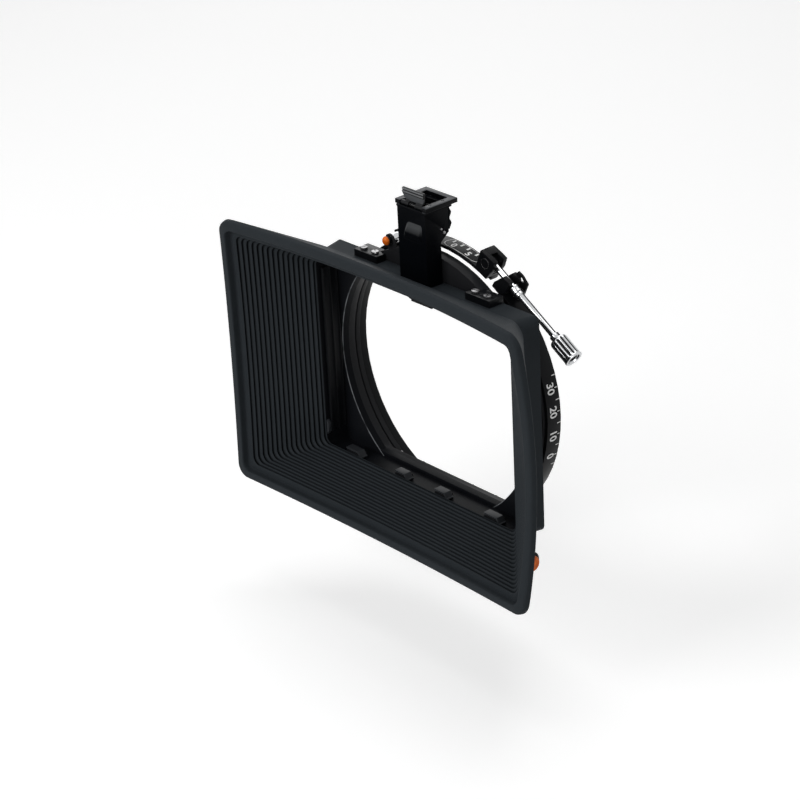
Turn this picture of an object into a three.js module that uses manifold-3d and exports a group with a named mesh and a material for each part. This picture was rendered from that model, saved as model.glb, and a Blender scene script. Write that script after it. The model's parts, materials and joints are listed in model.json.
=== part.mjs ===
// A clamp-on matte box: a ribbed hood moulded in one with its filter stage, a round stage
// plate that turns in a split clamp ring, a swing screw that closes the ring on a lens, a
// socket tower with a latch and a thumb lever on top, and two orange spring controls.
// Lengths are in millimetres. X points right seen from the front, Y points back towards
// the lens and Z points up. The origin is the centre of the clamp ring's bore at its rear
// face, so every place in front of the lens has a negative Y.

import * as THREE from 'three';
import { mergeVertices } from 'three/addons/utils/BufferGeometryUtils.js';
import Module from 'manifold-3d';

const wasm = await Module();
wasm.setup();

// Shared fits and facet counts
const gap = 0.3;
const seatGap = 0.05;
const overrun = 2;
const ringSides = 60;
const roundSides = 20;
const smallSides = 10;

// Clamp ring, which closes on a lens front of 143 mm
const ringBoreR = 71.5;
const ringWall = 4.5;
const ringDepth = 9.3;
const boreChamfer = 0.8;
const spigotDepth = 4.4;
const spigotInset = 2.1;
const splitStart = 27.4;
const splitEnd = 31.3;
const lockPadReach = 5.2;
const lockPadDepth = 2.8;
const lockPadSpread = 8;

// Clamp lugs and swing screw: places are shares of the ring's outer radius
const pivotShares = [0.4447, 0.9737];
const upperLugShares = [[0.355, 0.928], [0.41, 1.06], [0.535, 1.005], [0.51, 0.94], [0.446, 0.859]];
const lowerLugShares = [[0.493, 0.813], [0.53, 0.87], [0.612, 0.925], [0.7, 0.885], [0.611, 0.743]];
const finShares = [[0.579, 0.816], [0.615, 0.9], [0.646, 0.941], [0.684, 0.923], [0.732, 0.871], [0.674, 0.75]];
const lugRise = 10.4;
const lugFloor = 1;
const finDepth = 1.2;
const screwDrop = 32.5;
const screwR = 1.8;
const screwTail = 3.4;
const trunnionR = 2.9;
const seatShare = 0.2408;
const collarR = 2.9;
const collarLength = 3.8;
const gripReach = 35.6;
const gripLength = 13.4;
const gripR = 4.7;
const gripFlutes = 12;
const gripFluteDepth = 0.45;
const gripSocketR = 2.1;
const gripSocketDepth = 5;
const gripSocketSides = 6;
const gripNeckR = 2.6;
const gripNeckLength = 2.4;

// Wire ring that keeps the stage plate in the clamp ring
const wireR = 0.45;
const wireGroove = 1.5;
const wireSetback = 2;
const wireOpening = 12;
const wireSteps = 48;
const wireSides = 5;

// Round stage plate
const plateSetoff = 1;
const plateThickness = 3;
const plateInset = 3;
const archDepth = 6.2;
const openingLip = 0.2;
const openingLedge = 1.6;
const spigotTrim = 1;
const boreGroove = 1;
const boreGrooveDepth = 1.3;

// Hood and filter stage, whose middle lies a little below the ring's axis
const stageDrop = 0.7;
const archRise = 13.9;
const shellSideLip = 2.2;
const shellRadius = 4;
const roofWall = 3.2;
const sideWall = 1.6;
const stageWall = 4.2;
const pocketDepth = 13.5;
const hoodReach = 33.5;
const rimHalfWidth = 112.3;
const rimHalfHeight = 76;
const rimFace = 4.4;
const rimChamfer = 1;
const rimEdgeDepth = 3;
const rimRadius = 7.5;
const rimLipDepth = 4;
const rimLedge = 3.1;
const bowTop = 5.2;
const bowSide = 4.5;
const bulgeTop = 2.24;
const bulgeSide = 4.4;
const throatSideLip = 0.1;
const throatFloorLip = 2.9;
const throatRadius = 4;
const flareFoot = 6.5;
const flareRadius = 8;
const ribCount = 16;
const ribDepth = 1.1;
const ribGrooveShare = 0.36;
const cornerSteps = 4;
const sideSteps = 5;

// Tray rails and catches in the filter stage
const railClear = 8.6;
const railDepth = 10.4;
const railThickness = 1.7;
const railRib = 1;
const railBase = 0.7;
const catchShares = [-0.73, -0.21, 0.21, 0.73];
const catchWidths = [10.5, 8.4, 8.4, 10.5];
const catchRise = 4.4;
const catchDepth = 6.4;
const catchSetback = 0.7;
const topCatchWidth = 23;
const topCatchFoot = 14;
const topCatchDrop = 8;
const topCatchDepth = 5;
const sideCatchHeight = 9;
const sideCatchReach = 1.6;
const sideCatchInset = 3;

// Bridge blocks on the shell's top, and the screws of the stage
const bridgeShares = [0.456, 0.696];
const bridgeDepth = 9.6;
const bridgeHeight = 3.8;
const screwHeadR = 2;
const screwHeadHeight = 1.3;
const screwShankR = 1;
const screwReach = 2.6;
const screwSlotDepth = 0.6;
const plateScrewShares = [-0.8, -0.42, 0.42, 0.8];
const plateScrewMargin = 1.7;
const plateScrewShare = 0.7;

// Socket tower: heights are above the shell's top
const towerHalfWidth = 10.3;
const towerFront = 26.9;
const towerStem = 10.1;
const towerRise = 41;
const towerRear = 9.8;
const towerTaperLow = 22;
const towerTaperHigh = 27.6;
const towerInlay = 0.8;
const socketHalfWidth = 7.8;
const socketFront = 24.2;
const socketRear = 11.4;
const socketDepth = 10;
const socketFloorWall = 1.4;
const ledgeOut = 0.6;
const ledgeHeight = 1;
const ledgeDrop = 0.35;
const frameThickness = 2.4;
const frameSideLip = 1.3;
const frameRearLip = 4.1;
const frameRearBar = 3.1;
const framePinR = 0.5;
const framePinReach = 3;
const framePinShares = [0.17, 0.84];
const bulgeHeight = 5;
const bulgeWidth = 13.5;
const bulgeShift = 1.2;
const bulgeRise = 0.9;
const towerScrewShift = 4.5;
const towerScrewReach = 7;

// Latch flap in the gap of the frame's front bar
const latchPinR = 0.45;
const latchBossR = 1.2;
const latchHalfWidth = 7.9;
const latchPinEnd = 2.6;
const latchPlate = 1.1;
const latchRise = 5.2;
const latchLipR = 1;
const latchLipRise = 0.6;
const latchLean = 30;
const latchWindow = 2.2;

// Thumb lever at the tower's rear
const leverHalfWidth = 6.2;
const leverPinR = 0.9;
const leverBossR = 1.8;
const leverPinBack = 14.1;
const leverPinDrop = 14.3;
const leverTopDrop = 1.6;
const leverFootDrop = 13.4;
const leverPad = 2.2;
const leverStandOff = 0.9;
const leverTeeth = 2;
const leverToothPitch = 5.4;
const leverToothDepth = 1.2;
const stopPinR = 0.6;
const stopPinBack = 15.9;
const stopPinDrop = 12;

// Stage lock, a spring plunger at the upper left
const lockAngle = -22.6;
const lockSetoff = 4.6;
const lockBossR = 3.1;
const lockBossDepth = 1.2;
const lockNeckR = 2.15;
const lockFlangeR = 2.7;
const lockChamberR = 1.75;
const lockWall = 0.8;
const lockPinR = 0.7;
const lockShoulderR = 1.4;
const lockShoulder = 0.8;
const lockKnobR = 2.5;
const lockKnobLength = 1.9;
const lockCollarR = 2.2;
const lockCollarLength = 1.6;

// Tray release button at the lower right
const buttonY = 40;
const buttonZ = 61;
const buttonR = 4.1;
const buttonReach = 20.4;
const buttonLength = 4.3;
const buttonFlangeR = 4.7;
const buttonFlange = 0.8;
const buttonBoreR = 2.6;
const buttonCrown = 1.4;
const buttonWall = 0.8;
const buttonBossDepth = 5.2;
const buttonStroke = 1.7;
const buttonBezel = 0.8;

// Springs
const springWire = 0.25;
const springPitch = 0.95;
const coilSteps = 8;
const coilSides = 5;

// Turns of a quarter and of a half
const quarterTurn = Math.PI / 2;
const halfTurn = 180;
const mergeReach = 1e-5;

// Round sizes that follow the lens front, and the stage that follows them
const ringOuterR = ringBoreR + ringWall;
const spigotOuterR = ringOuterR - spigotInset;
const plateR = ringOuterR - plateInset;
const lugTopR = ringOuterR + lugRise;
const openingR = ringBoreR - openingLip;
const shellTop = plateR - archRise;
const shellHalfHeight = shellTop + stageDrop;
const shellHalfWidth = plateR + shellSideLip;
const shellFoot = shellTop - 2 * shellHalfHeight;
const stageMiddle = -stageDrop;
const pocketHalfWidth = shellHalfWidth - sideWall;
const pocketHalfHeight = shellHalfHeight - roofWall;
const pocketRoof = shellTop - roofWall;
const pocketFloor = shellFoot + roofWall;
const throatHalfWidth = pocketHalfWidth - throatSideLip;
const throatHalfHeight = pocketHalfHeight - throatFloorLip;
const openingHalfHeight = pocketHalfHeight - openingLedge;
const spigotHalfHeight = shellHalfHeight - spigotTrim;
const seatR = seatShare * ringOuterR;
const gripStart = seatR + gripReach;

// Planes across the optical axis, from the lens to the front
const plateRear = -ringDepth - plateSetoff;
const plateFront = plateRear - plateThickness;
const archFront = plateRear - archDepth;
const wallFront = plateFront - stageWall;
const pocketFront = wallFront - pocketDepth;
const rimPlane = pocketFront - hoodReach;
const spigotEnd = -ringDepth + spigotDepth - gap;
const screwPlane = -ringDepth / 2 + gap / 2;

// Small mesh tools

// Turns a closed geometry into a solid, with its faces pointing out
function solid(geometry) {
  const bare = geometry.clone();
  bare.deleteAttribute('uv');
  bare.deleteAttribute('normal');
  const merged = mergeVertices(bare, mergeReach);
  const vertProperties = new Float32Array(merged.attributes.position.array);
  const index = Array.from(merged.index.array);
  const kept = [];
  for (let i = 0; i < index.length; i += 3) {
    const [a, b, c] = index.slice(i, i + 3);
    if (a !== b && b !== c && c !== a) kept.push(a, b, c);
  }
  let volume = 0;
  const at = (i) => new THREE.Vector3().fromArray(vertProperties, i * 3);
  for (let i = 0; i < kept.length; i += 3) {
    volume += at(kept[i]).dot(at(kept[i + 1]).cross(at(kept[i + 2])));
  }
  if (volume < 0) kept.reverse();
  const triVerts = new Uint32Array(kept);
  return new wasm.Manifold(new wasm.Mesh({ numProp: 3, vertProperties, triVerts }));
}

// Turns a solid back into a geometry
function geometryOf(body) {
  const mesh = body.getMesh();
  const geometry = new THREE.BufferGeometry();
  geometry.setAttribute('position', new THREE.BufferAttribute(new Float32Array(mesh.vertProperties), 3));
  geometry.setIndex(new THREE.BufferAttribute(new Uint32Array(mesh.triVerts), 1));
  return geometry;
}

const fused = (parts) => parts.reduce((sum, part) => sum.add(part));
const radians = THREE.MathUtils.degToRad;

// A box between two corners
function box(x0, x1, y0, y1, z0, z1) {
  const geometry = new THREE.BoxGeometry(Math.abs(x1 - x0), Math.abs(y1 - y0), Math.abs(z1 - z0));
  geometry.translate((x0 + x1) / 2, (y0 + y1) / 2, (z0 + z1) / 2);
  return solid(geometry);
}

// A round bar along Y, X or Z
function barY(r, y0, y1, x = 0, z = 0, sides = roundSides) {
  const geometry = new THREE.CylinderGeometry(r, r, Math.abs(y1 - y0), sides);
  geometry.translate(x, (y0 + y1) / 2, z);
  return solid(geometry);
}
function barX(r, x0, x1, y = 0, z = 0, sides = roundSides) {
  const geometry = new THREE.CylinderGeometry(r, r, Math.abs(x1 - x0), sides);
  geometry.rotateZ(-quarterTurn);
  geometry.translate((x0 + x1) / 2, y, z);
  return solid(geometry);
}
function barZ(r, z0, z1, x = 0, y = 0, sides = roundSides) {
  const geometry = new THREE.CylinderGeometry(r, r, Math.abs(z1 - z0), sides);
  geometry.rotateX(quarterTurn);
  geometry.translate(x, y, (z0 + z1) / 2);
  return solid(geometry);
}

// A turned shape about Y from a profile of [radius, y] points that closes on itself
function turnedY(profile, sides) {
  const points = profile.map(([r, y]) => new THREE.Vector2(r, y));
  if (profile[0][0] > 0) points.push(points[0].clone());
  return solid(new THREE.LatheGeometry(points, sides));
}

// A turned shape about X from a profile of [radius, x] points that starts and ends on it
function turnedX(profile, sides) {
  const geometry = new THREE.LatheGeometry(profile.map(([r, x]) => new THREE.Vector2(r, x)), sides);
  geometry.rotateZ(-quarterTurn);
  return solid(geometry);
}

// Prisms: an outline in X and Z drawn along Y, and one in Y and Z drawn along X
const unitX = new THREE.Vector3(1, 0, 0);
const unitY = new THREE.Vector3(0, 1, 0);
const unitZ = new THREE.Vector3(0, 0, 1);

function prism(outline, start, end, basis, along) {
  const shape = new THREE.Shape(outline.map(([u, v]) => new THREE.Vector2(u, v)));
  const depth = Math.abs(end - start);
  const geometry = new THREE.ExtrudeGeometry(shape, { depth, bevelEnabled: false });
  geometry.applyMatrix4(basis);
  geometry.translate(...along.clone().multiplyScalar(Math.min(start, end)).toArray());
  return solid(geometry);
}
const acrossY = new THREE.Matrix4().makeBasis(unitX, unitZ, unitY);
const acrossX = new THREE.Matrix4().makeBasis(unitY, unitZ, unitX);
const prismY = (outline, y0, y1) => prism(outline, y0, y1, acrossY, unitY);
const prismX = (outline, x0, x1) => prism(outline, x0, x1, acrossX, unitX);

// Everything outside radius r about Y, between two planes
function outside(r, y0, y1) {
  const big = r + rimHalfWidth;
  return barY(big, y0, y1, 0, 0, ringSides).subtract(barY(r, y0 - overrun, y1 + overrun, 0, 0, ringSides));
}

// A closed strip of loops, each with the same number of points, that ends where it starts
function stripOf(loops) {
  const count = loops[0].length;
  const positions = new Float32Array(loops.flat(2));
  const index = [];
  loops.forEach((loop, i) => {
    const here = i * count;
    const there = ((i + 1) % loops.length) * count;
    for (let k = 0; k < count; k += 1) {
      const next = (k + 1) % count;
      index.push(here + k, there + k, here + next);
      index.push(here + next, there + k, there + next);
    }
  });
  const geometry = new THREE.BufferGeometry();
  geometry.setAttribute('position', new THREE.BufferAttribute(positions, 3));
  geometry.setIndex(index);
  return geometry;
}

// A tube along points with flat ends and a round section in the plane of two unit vectors
function tube(points, frames, r, sides) {
  const positions = [];
  points.forEach((point, i) => {
    for (let k = 0; k < sides; k += 1) {
      const angle = (2 * Math.PI * k) / sides;
      const across = frames[i][0].clone().multiplyScalar(r * Math.cos(angle));
      const up = frames[i][1].clone().multiplyScalar(r * Math.sin(angle));
      positions.push(...point.clone().add(across).add(up).toArray());
    }
  });
  const index = [];
  for (let i = 0; i < points.length - 1; i += 1) {
    const here = i * sides;
    const there = (i + 1) * sides;
    for (let k = 0; k < sides; k += 1) {
      const next = (k + 1) % sides;
      index.push(here + k, there + k, here + next, here + next, there + k, there + next);
    }
  }
  const last = (points.length - 1) * sides;
  for (let k = 1; k < sides - 1; k += 1) {
    index.push(0, k, k + 1);
    index.push(last, last + k + 1, last + k);
  }
  const geometry = new THREE.BufferGeometry();
  geometry.setAttribute('position', new THREE.BufferAttribute(new Float32Array(positions), 3));
  geometry.setIndex(index);
  return geometry;
}

// A helical spring about Y from y = 0 to its length, as one unbroken wire
function spring(name, coilR, length) {
  const turns = (length - 2 * springWire) / springPitch;
  const count = Math.ceil(turns * coilSteps);
  const points = [];
  const frames = [];
  for (let i = 0; i <= count; i += 1) {
    const angle = (2 * Math.PI * turns * i) / count;
    const radial = new THREE.Vector3(Math.cos(angle), 0, Math.sin(angle));
    const centre = radial.clone().multiplyScalar(coilR);
    centre.y = springWire + ((length - 2 * springWire) * i) / count;
    points.push(centre);
    frames.push([radial, unitY]);
  }
  let least = Infinity;
  points.forEach((one, i) => {
    points.slice(i + coilSteps - 1).forEach((other) => {
      least = Math.min(least, one.distanceTo(other) - 2 * springWire);
    });
  });
  console.log(`${name}: least gap between turns ${least.toFixed(2)} mm`);
  return tube(points, frames, springWire, coilSides);
}

// The hood's loops: rounded rectangles whose sides bow back and bulge out towards the rim,
// and whose middle rises from the stage's middle to the axis
function hoodLoop(halfWidth, halfHeight, y, radius, bow) {
  const corners = [[1, -1], [1, 1], [-1, 1], [-1, -1]];
  const outline = [];
  corners.forEach(([sx, sz], corner) => {
    const start = (corner - 1) * quarterTurn;
    for (let k = 0; k <= cornerSteps; k += 1) {
      const angle = start + (k / cornerSteps) * quarterTurn;
      const x = sx * (halfWidth - radius) + radius * Math.cos(angle);
      const z = sz * (halfHeight - radius) + radius * Math.sin(angle);
      outline.push([x, z]);
    }
    const [fromX, fromZ] = outline[outline.length - 1];
    const [nx, nz] = corners[(corner + 1) % corners.length];
    const next = start + quarterTurn;
    const toX = nx * (halfWidth - radius) + radius * Math.cos(next);
    const toZ = nz * (halfHeight - radius) + radius * Math.sin(next);
    for (let k = 1; k < sideSteps; k += 1) {
      const share = k / sideSteps;
      outline.push([fromX + (toX - fromX) * share, fromZ + (toZ - fromZ) * share]);
    }
  });
  return outline.map(([x, z]) => {
    const alongTop = 1 - (x / halfWidth) ** 2;
    const alongSide = 1 - (z / halfHeight) ** 2;
    const back = bow * (bowTop * alongTop + bowSide * alongSide);
    const outX = bow * bulgeSide * alongSide * (x / halfWidth);
    const outZ = bow * bulgeTop * alongTop * (z / halfHeight);
    return [x + outX, y + back, z + outZ + (1 - bow) * stageMiddle];
  });
}

const mix = (from, to, share) => from + (to - from) * share;

// The light opening: a circle cut off straight above and below
function lightOpening(y0, y1) {
  const wide = openingR + overrun;
  const round = barY(openingR, y0, y1, 0, 0, ringSides);
  return round.intersect(box(-wide, wide, y0 - overrun, y1 + overrun, -openingHalfHeight, openingHalfHeight));
}

// A screw with a slotted head, standing along Z with its head's underside at z = 0
function slottedScrew(reach, share = 1) {
  const height = screwHeadHeight * share;
  const head = barZ(screwHeadR * share, 0, height, 0, 0, smallSides);
  const shank = barZ(screwShankR * share, -reach, height / 2, 0, 0, smallSides);
  const deep = screwSlotDepth * share;
  const wide = screwHeadR + overrun;
  const slot = box(-wide, wide, -deep / 2, deep / 2, height - deep, height + overrun);
  return head.add(shank).subtract(slot);
}

// Places that several pieces share
const plateScrewZ = openingHalfHeight + plateScrewMargin;
const plateScrewChord = Math.sqrt(plateR ** 2 - plateScrewZ ** 2);
const plateScrewPlaces = plateScrewShares.map((share) => share * plateScrewChord);
const plateShankR = screwShankR * plateScrewShare;
const bridgeFront = plateFront - bridgeDepth;
const bridgeScrewY = (bridgeFront + archFront - gap) / 2;
const [bridgeInner, bridgeOuter] = bridgeShares.map((share) => share * plateR);
const bridgeScrewShift = (bridgeOuter - bridgeInner) / 4;
const bridgeTop = shellTop + seatGap + bridgeHeight;
const bridgeScrewPlaces = [-1, 1].flatMap((side) => [-1, 1].map((place) => (
  side * ((bridgeInner + bridgeOuter) / 2 + place * bridgeScrewShift))));
const wirePlane = -ringDepth + wireSetback + wireR;
const wireCentreR = spigotOuterR + gap / 2;
const railHeight = 2 * (pocketHalfHeight - railClear);
const towerBase = shellTop - towerInlay + gap;
const towerTop = shellTop + towerRise;
const towerStemMiddle = -towerFront + towerStem / 2;
const towerScrewSeat = pocketRoof - screwHeadHeight * 2;
const socketFloor = towerTop - socketDepth;
const frameTop = towerTop + frameThickness;
const framePinX = (socketHalfWidth + towerHalfWidth) / 2;
const framePinPlaces = [-1, 1].flatMap((side) => (
  framePinShares.map((share) => [side * framePinX, mix(-socketFront, -socketRear, share)])));
const latchY = -towerFront + latchBossR + gap;
const latchZ = towerTop + frameThickness / 2;
const leverPinZ = towerTop - leverPinDrop;
const lockOffset = plateR + lockSetoff;
const pivotX = pivotShares[0] * ringOuterR;
const pivotZ = pivotShares[1] * ringOuterR;
const lockX = Math.sin(radians(lockAngle)) * lockOffset;
const lockZ = Math.cos(radians(lockAngle)) * lockOffset;
const onRing = (shares) => shares.map(([x, z]) => [x * ringOuterR, z * ringOuterR]);
const polar = (r, degrees) => [r * Math.sin(radians(degrees)), r * Math.cos(radians(degrees))];
const buttonTip = shellHalfWidth + buttonReach;
const buttonInner = buttonTip - buttonLength;
const buttonCavity = buttonInner - buttonStroke;
const buttonBossEnd = buttonInner + buttonFlange + gap;
const buttonBossR = buttonFlangeR + gap + buttonWall;

// Hood

function hood() {
  const lipW = rimHalfWidth - rimChamfer - rimFace;
  const lipH = rimHalfHeight - rimChamfer - rimFace;
  const lipY = rimPlane + rimLipDepth;
  const loops = [
    hoodLoop(shellHalfWidth, shellHalfHeight, plateFront, shellRadius, 0),
    hoodLoop(shellHalfWidth, shellHalfHeight, pocketFront + flareFoot, flareRadius, 0),
    hoodLoop(rimHalfWidth, rimHalfHeight, rimPlane + rimEdgeDepth, rimRadius, 1),
    hoodLoop(rimHalfWidth - rimChamfer, rimHalfHeight - rimChamfer, rimPlane, rimRadius - rimChamfer, 1),
    hoodLoop(lipW, lipH, rimPlane, throatRadius, 1),
    hoodLoop(lipW, lipH, lipY, throatRadius, 1),
  ];
  const funnelLoop = (share, depth) => loops.push(hoodLoop(
    mix(lipW - rimLedge, throatHalfWidth, share) + depth,
    mix(lipH - rimLedge, throatHalfHeight, share) + depth,
    mix(lipY, pocketFront, share), throatRadius, 1 - share,
  ));
  for (let i = 0; i < ribCount; i += 1) {
    funnelLoop(i / ribCount, 0);
    funnelLoop((i + 1 - ribGrooveShare) / ribCount, 0);
    funnelLoop((i + 1 - ribGrooveShare / 2) / ribCount, ribDepth);
  }
  funnelLoop(1, 0);
  loops.push(hoodLoop(pocketHalfWidth, pocketHalfHeight, pocketFront + gap, throatRadius, 0));
  loops.push(hoodLoop(pocketHalfWidth, pocketHalfHeight, plateFront, throatRadius, 0));
  const wide = (pocketHalfWidth + shellHalfWidth) / 2;
  const high = (pocketHalfHeight + shellHalfHeight) / 2;
  const outline = hoodLoop(wide, high, plateFront, shellRadius - sideWall / 2, 0).map(([x, , z]) => [x, z]);
  const wall = prismY(outline, wallFront, plateFront);
  const bossAt = [-buttonY, -buttonZ];
  const slope = new THREE.Vector3(lipY - pocketFront, throatHalfWidth - lipW + rimLedge, 0).normalize().negate();
  const slopeAt = slope.dot(new THREE.Vector3(throatHalfWidth + ribDepth, pocketFront, 0));
  const boss = barX(buttonBossR, buttonCavity - buttonBossDepth, buttonBossEnd, ...bossAt)
    .trimByPlane(slope.toArray(), slopeAt);
  const bossHole = barX(buttonFlangeR + gap, buttonCavity, buttonBossEnd + overrun, ...bossAt);
  const bossRelief = barX(buttonBossR + gap, buttonBossEnd, buttonTip + overrun, ...bossAt);
  const inlayX = towerHalfWidth + gap;
  const inlayFront = -towerFront - gap;
  const inlayBack = inlayFront + towerStem + 2 * gap;
  const inlay = box(-inlayX, inlayX, inlayFront, inlayBack, shellTop - towerInlay, shellTop + bowTop);
  let body = solid(stripOf(loops)).add(wall).subtract(lightOpening(wallFront - overrun, plateFront + overrun));
  body = body.add(boss).subtract(bossHole).subtract(bossRelief).subtract(inlay);
  const holes = [];
  const blindEnd = plateFront - screwReach - gap;
  plateScrewPlaces.forEach((x) => [-1, 1].forEach((side) => {
    holes.push(barY(plateShankR + gap, blindEnd, plateFront + overrun, x, side * plateScrewZ, smallSides));
  }));
  bridgeScrewPlaces.forEach((x) => {
    holes.push(barZ(screwShankR + gap, pocketRoof - overrun, shellTop + overrun, x, bridgeScrewY, smallSides));
  });
  [-1, 1].forEach((side) => {
    const x = side * towerScrewShift;
    holes.push(barZ(screwShankR + gap, pocketRoof - overrun, shellTop, x, towerStemMiddle, smallSides));
  });
  return body.subtract(fused(holes));
}

// Stage plate with its two arches, its spigot and the boss of the stage lock

function stagePlate() {
  const disc = barY(plateR, plateRear, plateFront, 0, 0, ringSides);
  const arches = barY(plateR, archFront, plateFront, 0, 0, ringSides);
  const band = box(-plateR, plateR, archFront - overrun, plateFront, shellFoot - gap, shellTop + gap);
  const grooveFloorR = wireCentreR - wireR - gap;
  const groove = [wirePlane - wireGroove / 2, wirePlane + wireGroove / 2];
  const start = plateRear - gap;
  const spigot = turnedY([
    [openingR, start], [spigotOuterR, start], [spigotOuterR, groove[0]], [grooveFloorR, groove[0]],
    [grooveFloorR, groove[1]], [spigotOuterR, groove[1]], [spigotOuterR, spigotEnd], [openingR, spigotEnd],
  ], ringSides);
  const grooveFront = -ringDepth + gap;
  const lightTrap = barY(openingR + boreGrooveDepth, grooveFront, grooveFront + boreGroove, 0, 0, ringSides);
  const tall = spigotHalfHeight;
  const wide = spigotOuterR + overrun;
  const sides = spigot.subtract(lightTrap).intersect(box(-wide, wide, start, overrun, -tall, tall));
  const boss = barY(lockBossR, archFront, archFront + lockBossDepth, lockX, lockZ);
  const [edgeX, edgeZ] = polar(lockBossR, lockAngle + 90);
  const inner = polar(plateR - lockBossR, lockAngle);
  const web = prismY([
    [inner[0] - edgeX, inner[1] - edgeZ], [inner[0] + edgeX, inner[1] + edgeZ],
    [lockX + edgeX, lockZ + edgeZ], [lockX - edgeX, lockZ - edgeZ],
  ], archFront, archFront + lockBossDepth);
  const neckHole = barY(lockNeckR + gap, archFront - overrun, plateRear, lockX, lockZ);
  let body = fused([disc, arches.subtract(band), sides, boss, web]).subtract(neckHole);
  body = body.subtract(lightOpening(plateFront - overrun, plateRear));
  const holes = plateScrewPlaces.flatMap((x) => [-1, 1].map((side) => barY(
    plateShankR + gap, plateFront - overrun, plateRear + overrun, x, side * plateScrewZ, smallSides,
  )));
  return body.subtract(fused(holes));
}

// Clamp ring with its split, lugs and lock pad

function clampRing() {
  const seatWallR = spigotOuterR + gap;
  const grooveR = wireCentreR + wireR + gap;
  const grooveFront = wirePlane - wireGroove / 2;
  const grooveBack = wirePlane + wireGroove / 2;
  const floor = -ringDepth + spigotDepth;
  const ring = turnedY([
    [ringBoreR + boreChamfer, 0], [ringOuterR, 0], [ringOuterR, -ringDepth], [seatWallR, -ringDepth],
    [seatWallR, grooveFront], [grooveR, grooveFront], [grooveR, grooveBack], [seatWallR, grooveBack],
    [seatWallR, floor], [ringBoreR, floor], [ringBoreR, -boreChamfer],
  ], ringSides);
  const innerR = ringBoreR - overrun;
  const outerR = ringOuterR + overrun;
  const split = prismY([
    polar(innerR, splitStart), polar(outerR, splitStart), polar(outerR, splitEnd), polar(innerR, splitEnd),
  ], -ringDepth - overrun, overrun);
  const lugFootR = (grooveR + ringOuterR) / 2;
  const clear = barY(lugFootR, -ringDepth - overrun, overrun, 0, 0, ringSides);
  const slot = outside(ringOuterR + lugFloor, screwPlane - screwR - gap, screwPlane + screwR + gap);
  const upper = prismY(onRing(upperLugShares), -ringDepth, 0)
    .intersect(barY(lugTopR, -ringDepth, 0, 0, 0, ringSides))
    .subtract(slot)
    .subtract(barY(trunnionR + gap, -ringDepth - overrun, overrun, pivotX, pivotZ));
  const seat = barY(seatR, -ringDepth, 0, pivotX, pivotZ, ringSides);
  const lower = prismY(onRing(lowerLugShares), -ringDepth, 0).intersect(seat).subtract(slot);
  const fin = prismY(onRing(finShares), -finDepth, 0);
  const spread = lockPadSpread / 2;
  const pad = prismY([
    polar(lugFootR, lockAngle - spread), polar(ringOuterR + lockPadReach, lockAngle - spread / 2),
    polar(ringOuterR + lockPadReach, lockAngle + spread / 2), polar(lugFootR, lockAngle + spread),
  ], -ringDepth, -ringDepth + lockPadDepth);
  return ring.subtract(split).add(fused([upper, lower, fin, pad]).subtract(clear));
}

function retainingWire() {
  const middle = (splitStart + splitEnd) / 2;
  const points = [];
  const frames = [];
  for (let i = 0; i <= wireSteps; i += 1) {
    const degrees = middle + wireOpening / 2 + ((360 - wireOpening) * i) / wireSteps;
    const [x, z] = polar(1, degrees);
    const radial = new THREE.Vector3(x, 0, z);
    points.push(radial.clone().multiplyScalar(wireCentreR).setY(wirePlane));
    frames.push([radial, unitY]);
  }
  return tube(points, frames, wireR, wireSides);
}

// Filter stage: side rails and catches that hold a tray

function trayRail(side) {
  const outer = pocketHalfWidth - gap;
  const back = wallFront - gap;
  const half = railHeight / 2;
  const rail = box(outer - railThickness, outer, back - railDepth, back, -half, half);
  const bay = (railDepth - 3 * railRib) / 2;
  const cuts = [0, 1].map((i) => {
    const start = back - railDepth + railRib + i * (bay + railRib);
    return box(outer - railThickness - overrun, outer - railBase, start, start + bay, -railHeight, railHeight);
  });
  const body = rail.subtract(fused(cuts));
  const placed = side > 0 ? body : body.rotate([0, 0, halfTurn]).translate([0, 2 * back - railDepth, 0]);
  return placed.translate([0, 0, stageMiddle]);
}

function trayCatch(x, width) {
  const floor = pocketFloor + seatGap;
  const front = pocketFront + catchSetback;
  const back = front + catchDepth;
  const top = floor + catchRise;
  return prismX([
    [front, floor], [back, floor], [back - catchSetback, top], [front + catchSetback, top - catchRise / 4],
  ], x - width / 2, x + width / 2);
}

function topCatch() {
  const roof = pocketRoof - seatGap;
  const foot = roof - topCatchDrop;
  const slope = (topCatchWidth - topCatchFoot) / 4;
  const y = towerStemMiddle;
  const body = prismY([
    [-topCatchWidth / 2, roof], [topCatchWidth / 2, roof], [topCatchWidth / 2, foot + slope],
    [topCatchFoot / 2, foot], [-topCatchFoot / 2, foot], [-topCatchWidth / 2, foot + slope],
  ], y - topCatchDepth / 2, y + topCatchDepth / 2);
  const cuts = [-1, 1].flatMap((side) => [
    barZ(screwShankR + gap, foot - overrun, roof + overrun, side * towerScrewShift, y, smallSides),
    barZ(screwHeadR + gap, foot - overrun, towerScrewSeat, side * towerScrewShift, y, smallSides),
  ]);
  return body.subtract(fused(cuts));
}

function sideCatch() {
  const wall = -pocketHalfWidth + seatGap;
  const front = pocketFront + gap;
  const depth = wallFront - gap - railDepth - gap - front;
  const z = stageMiddle - railHeight / 2 + sideCatchInset;
  return prismY([
    [wall, z - sideCatchHeight / 2], [wall + sideCatchReach, z - sideCatchHeight / 4],
    [wall + sideCatchReach, z + sideCatchHeight / 4], [wall, z + sideCatchHeight / 2],
  ], front, front + depth);
}

// Bridge blocks on the shell, cut clear of the upper arch

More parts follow.
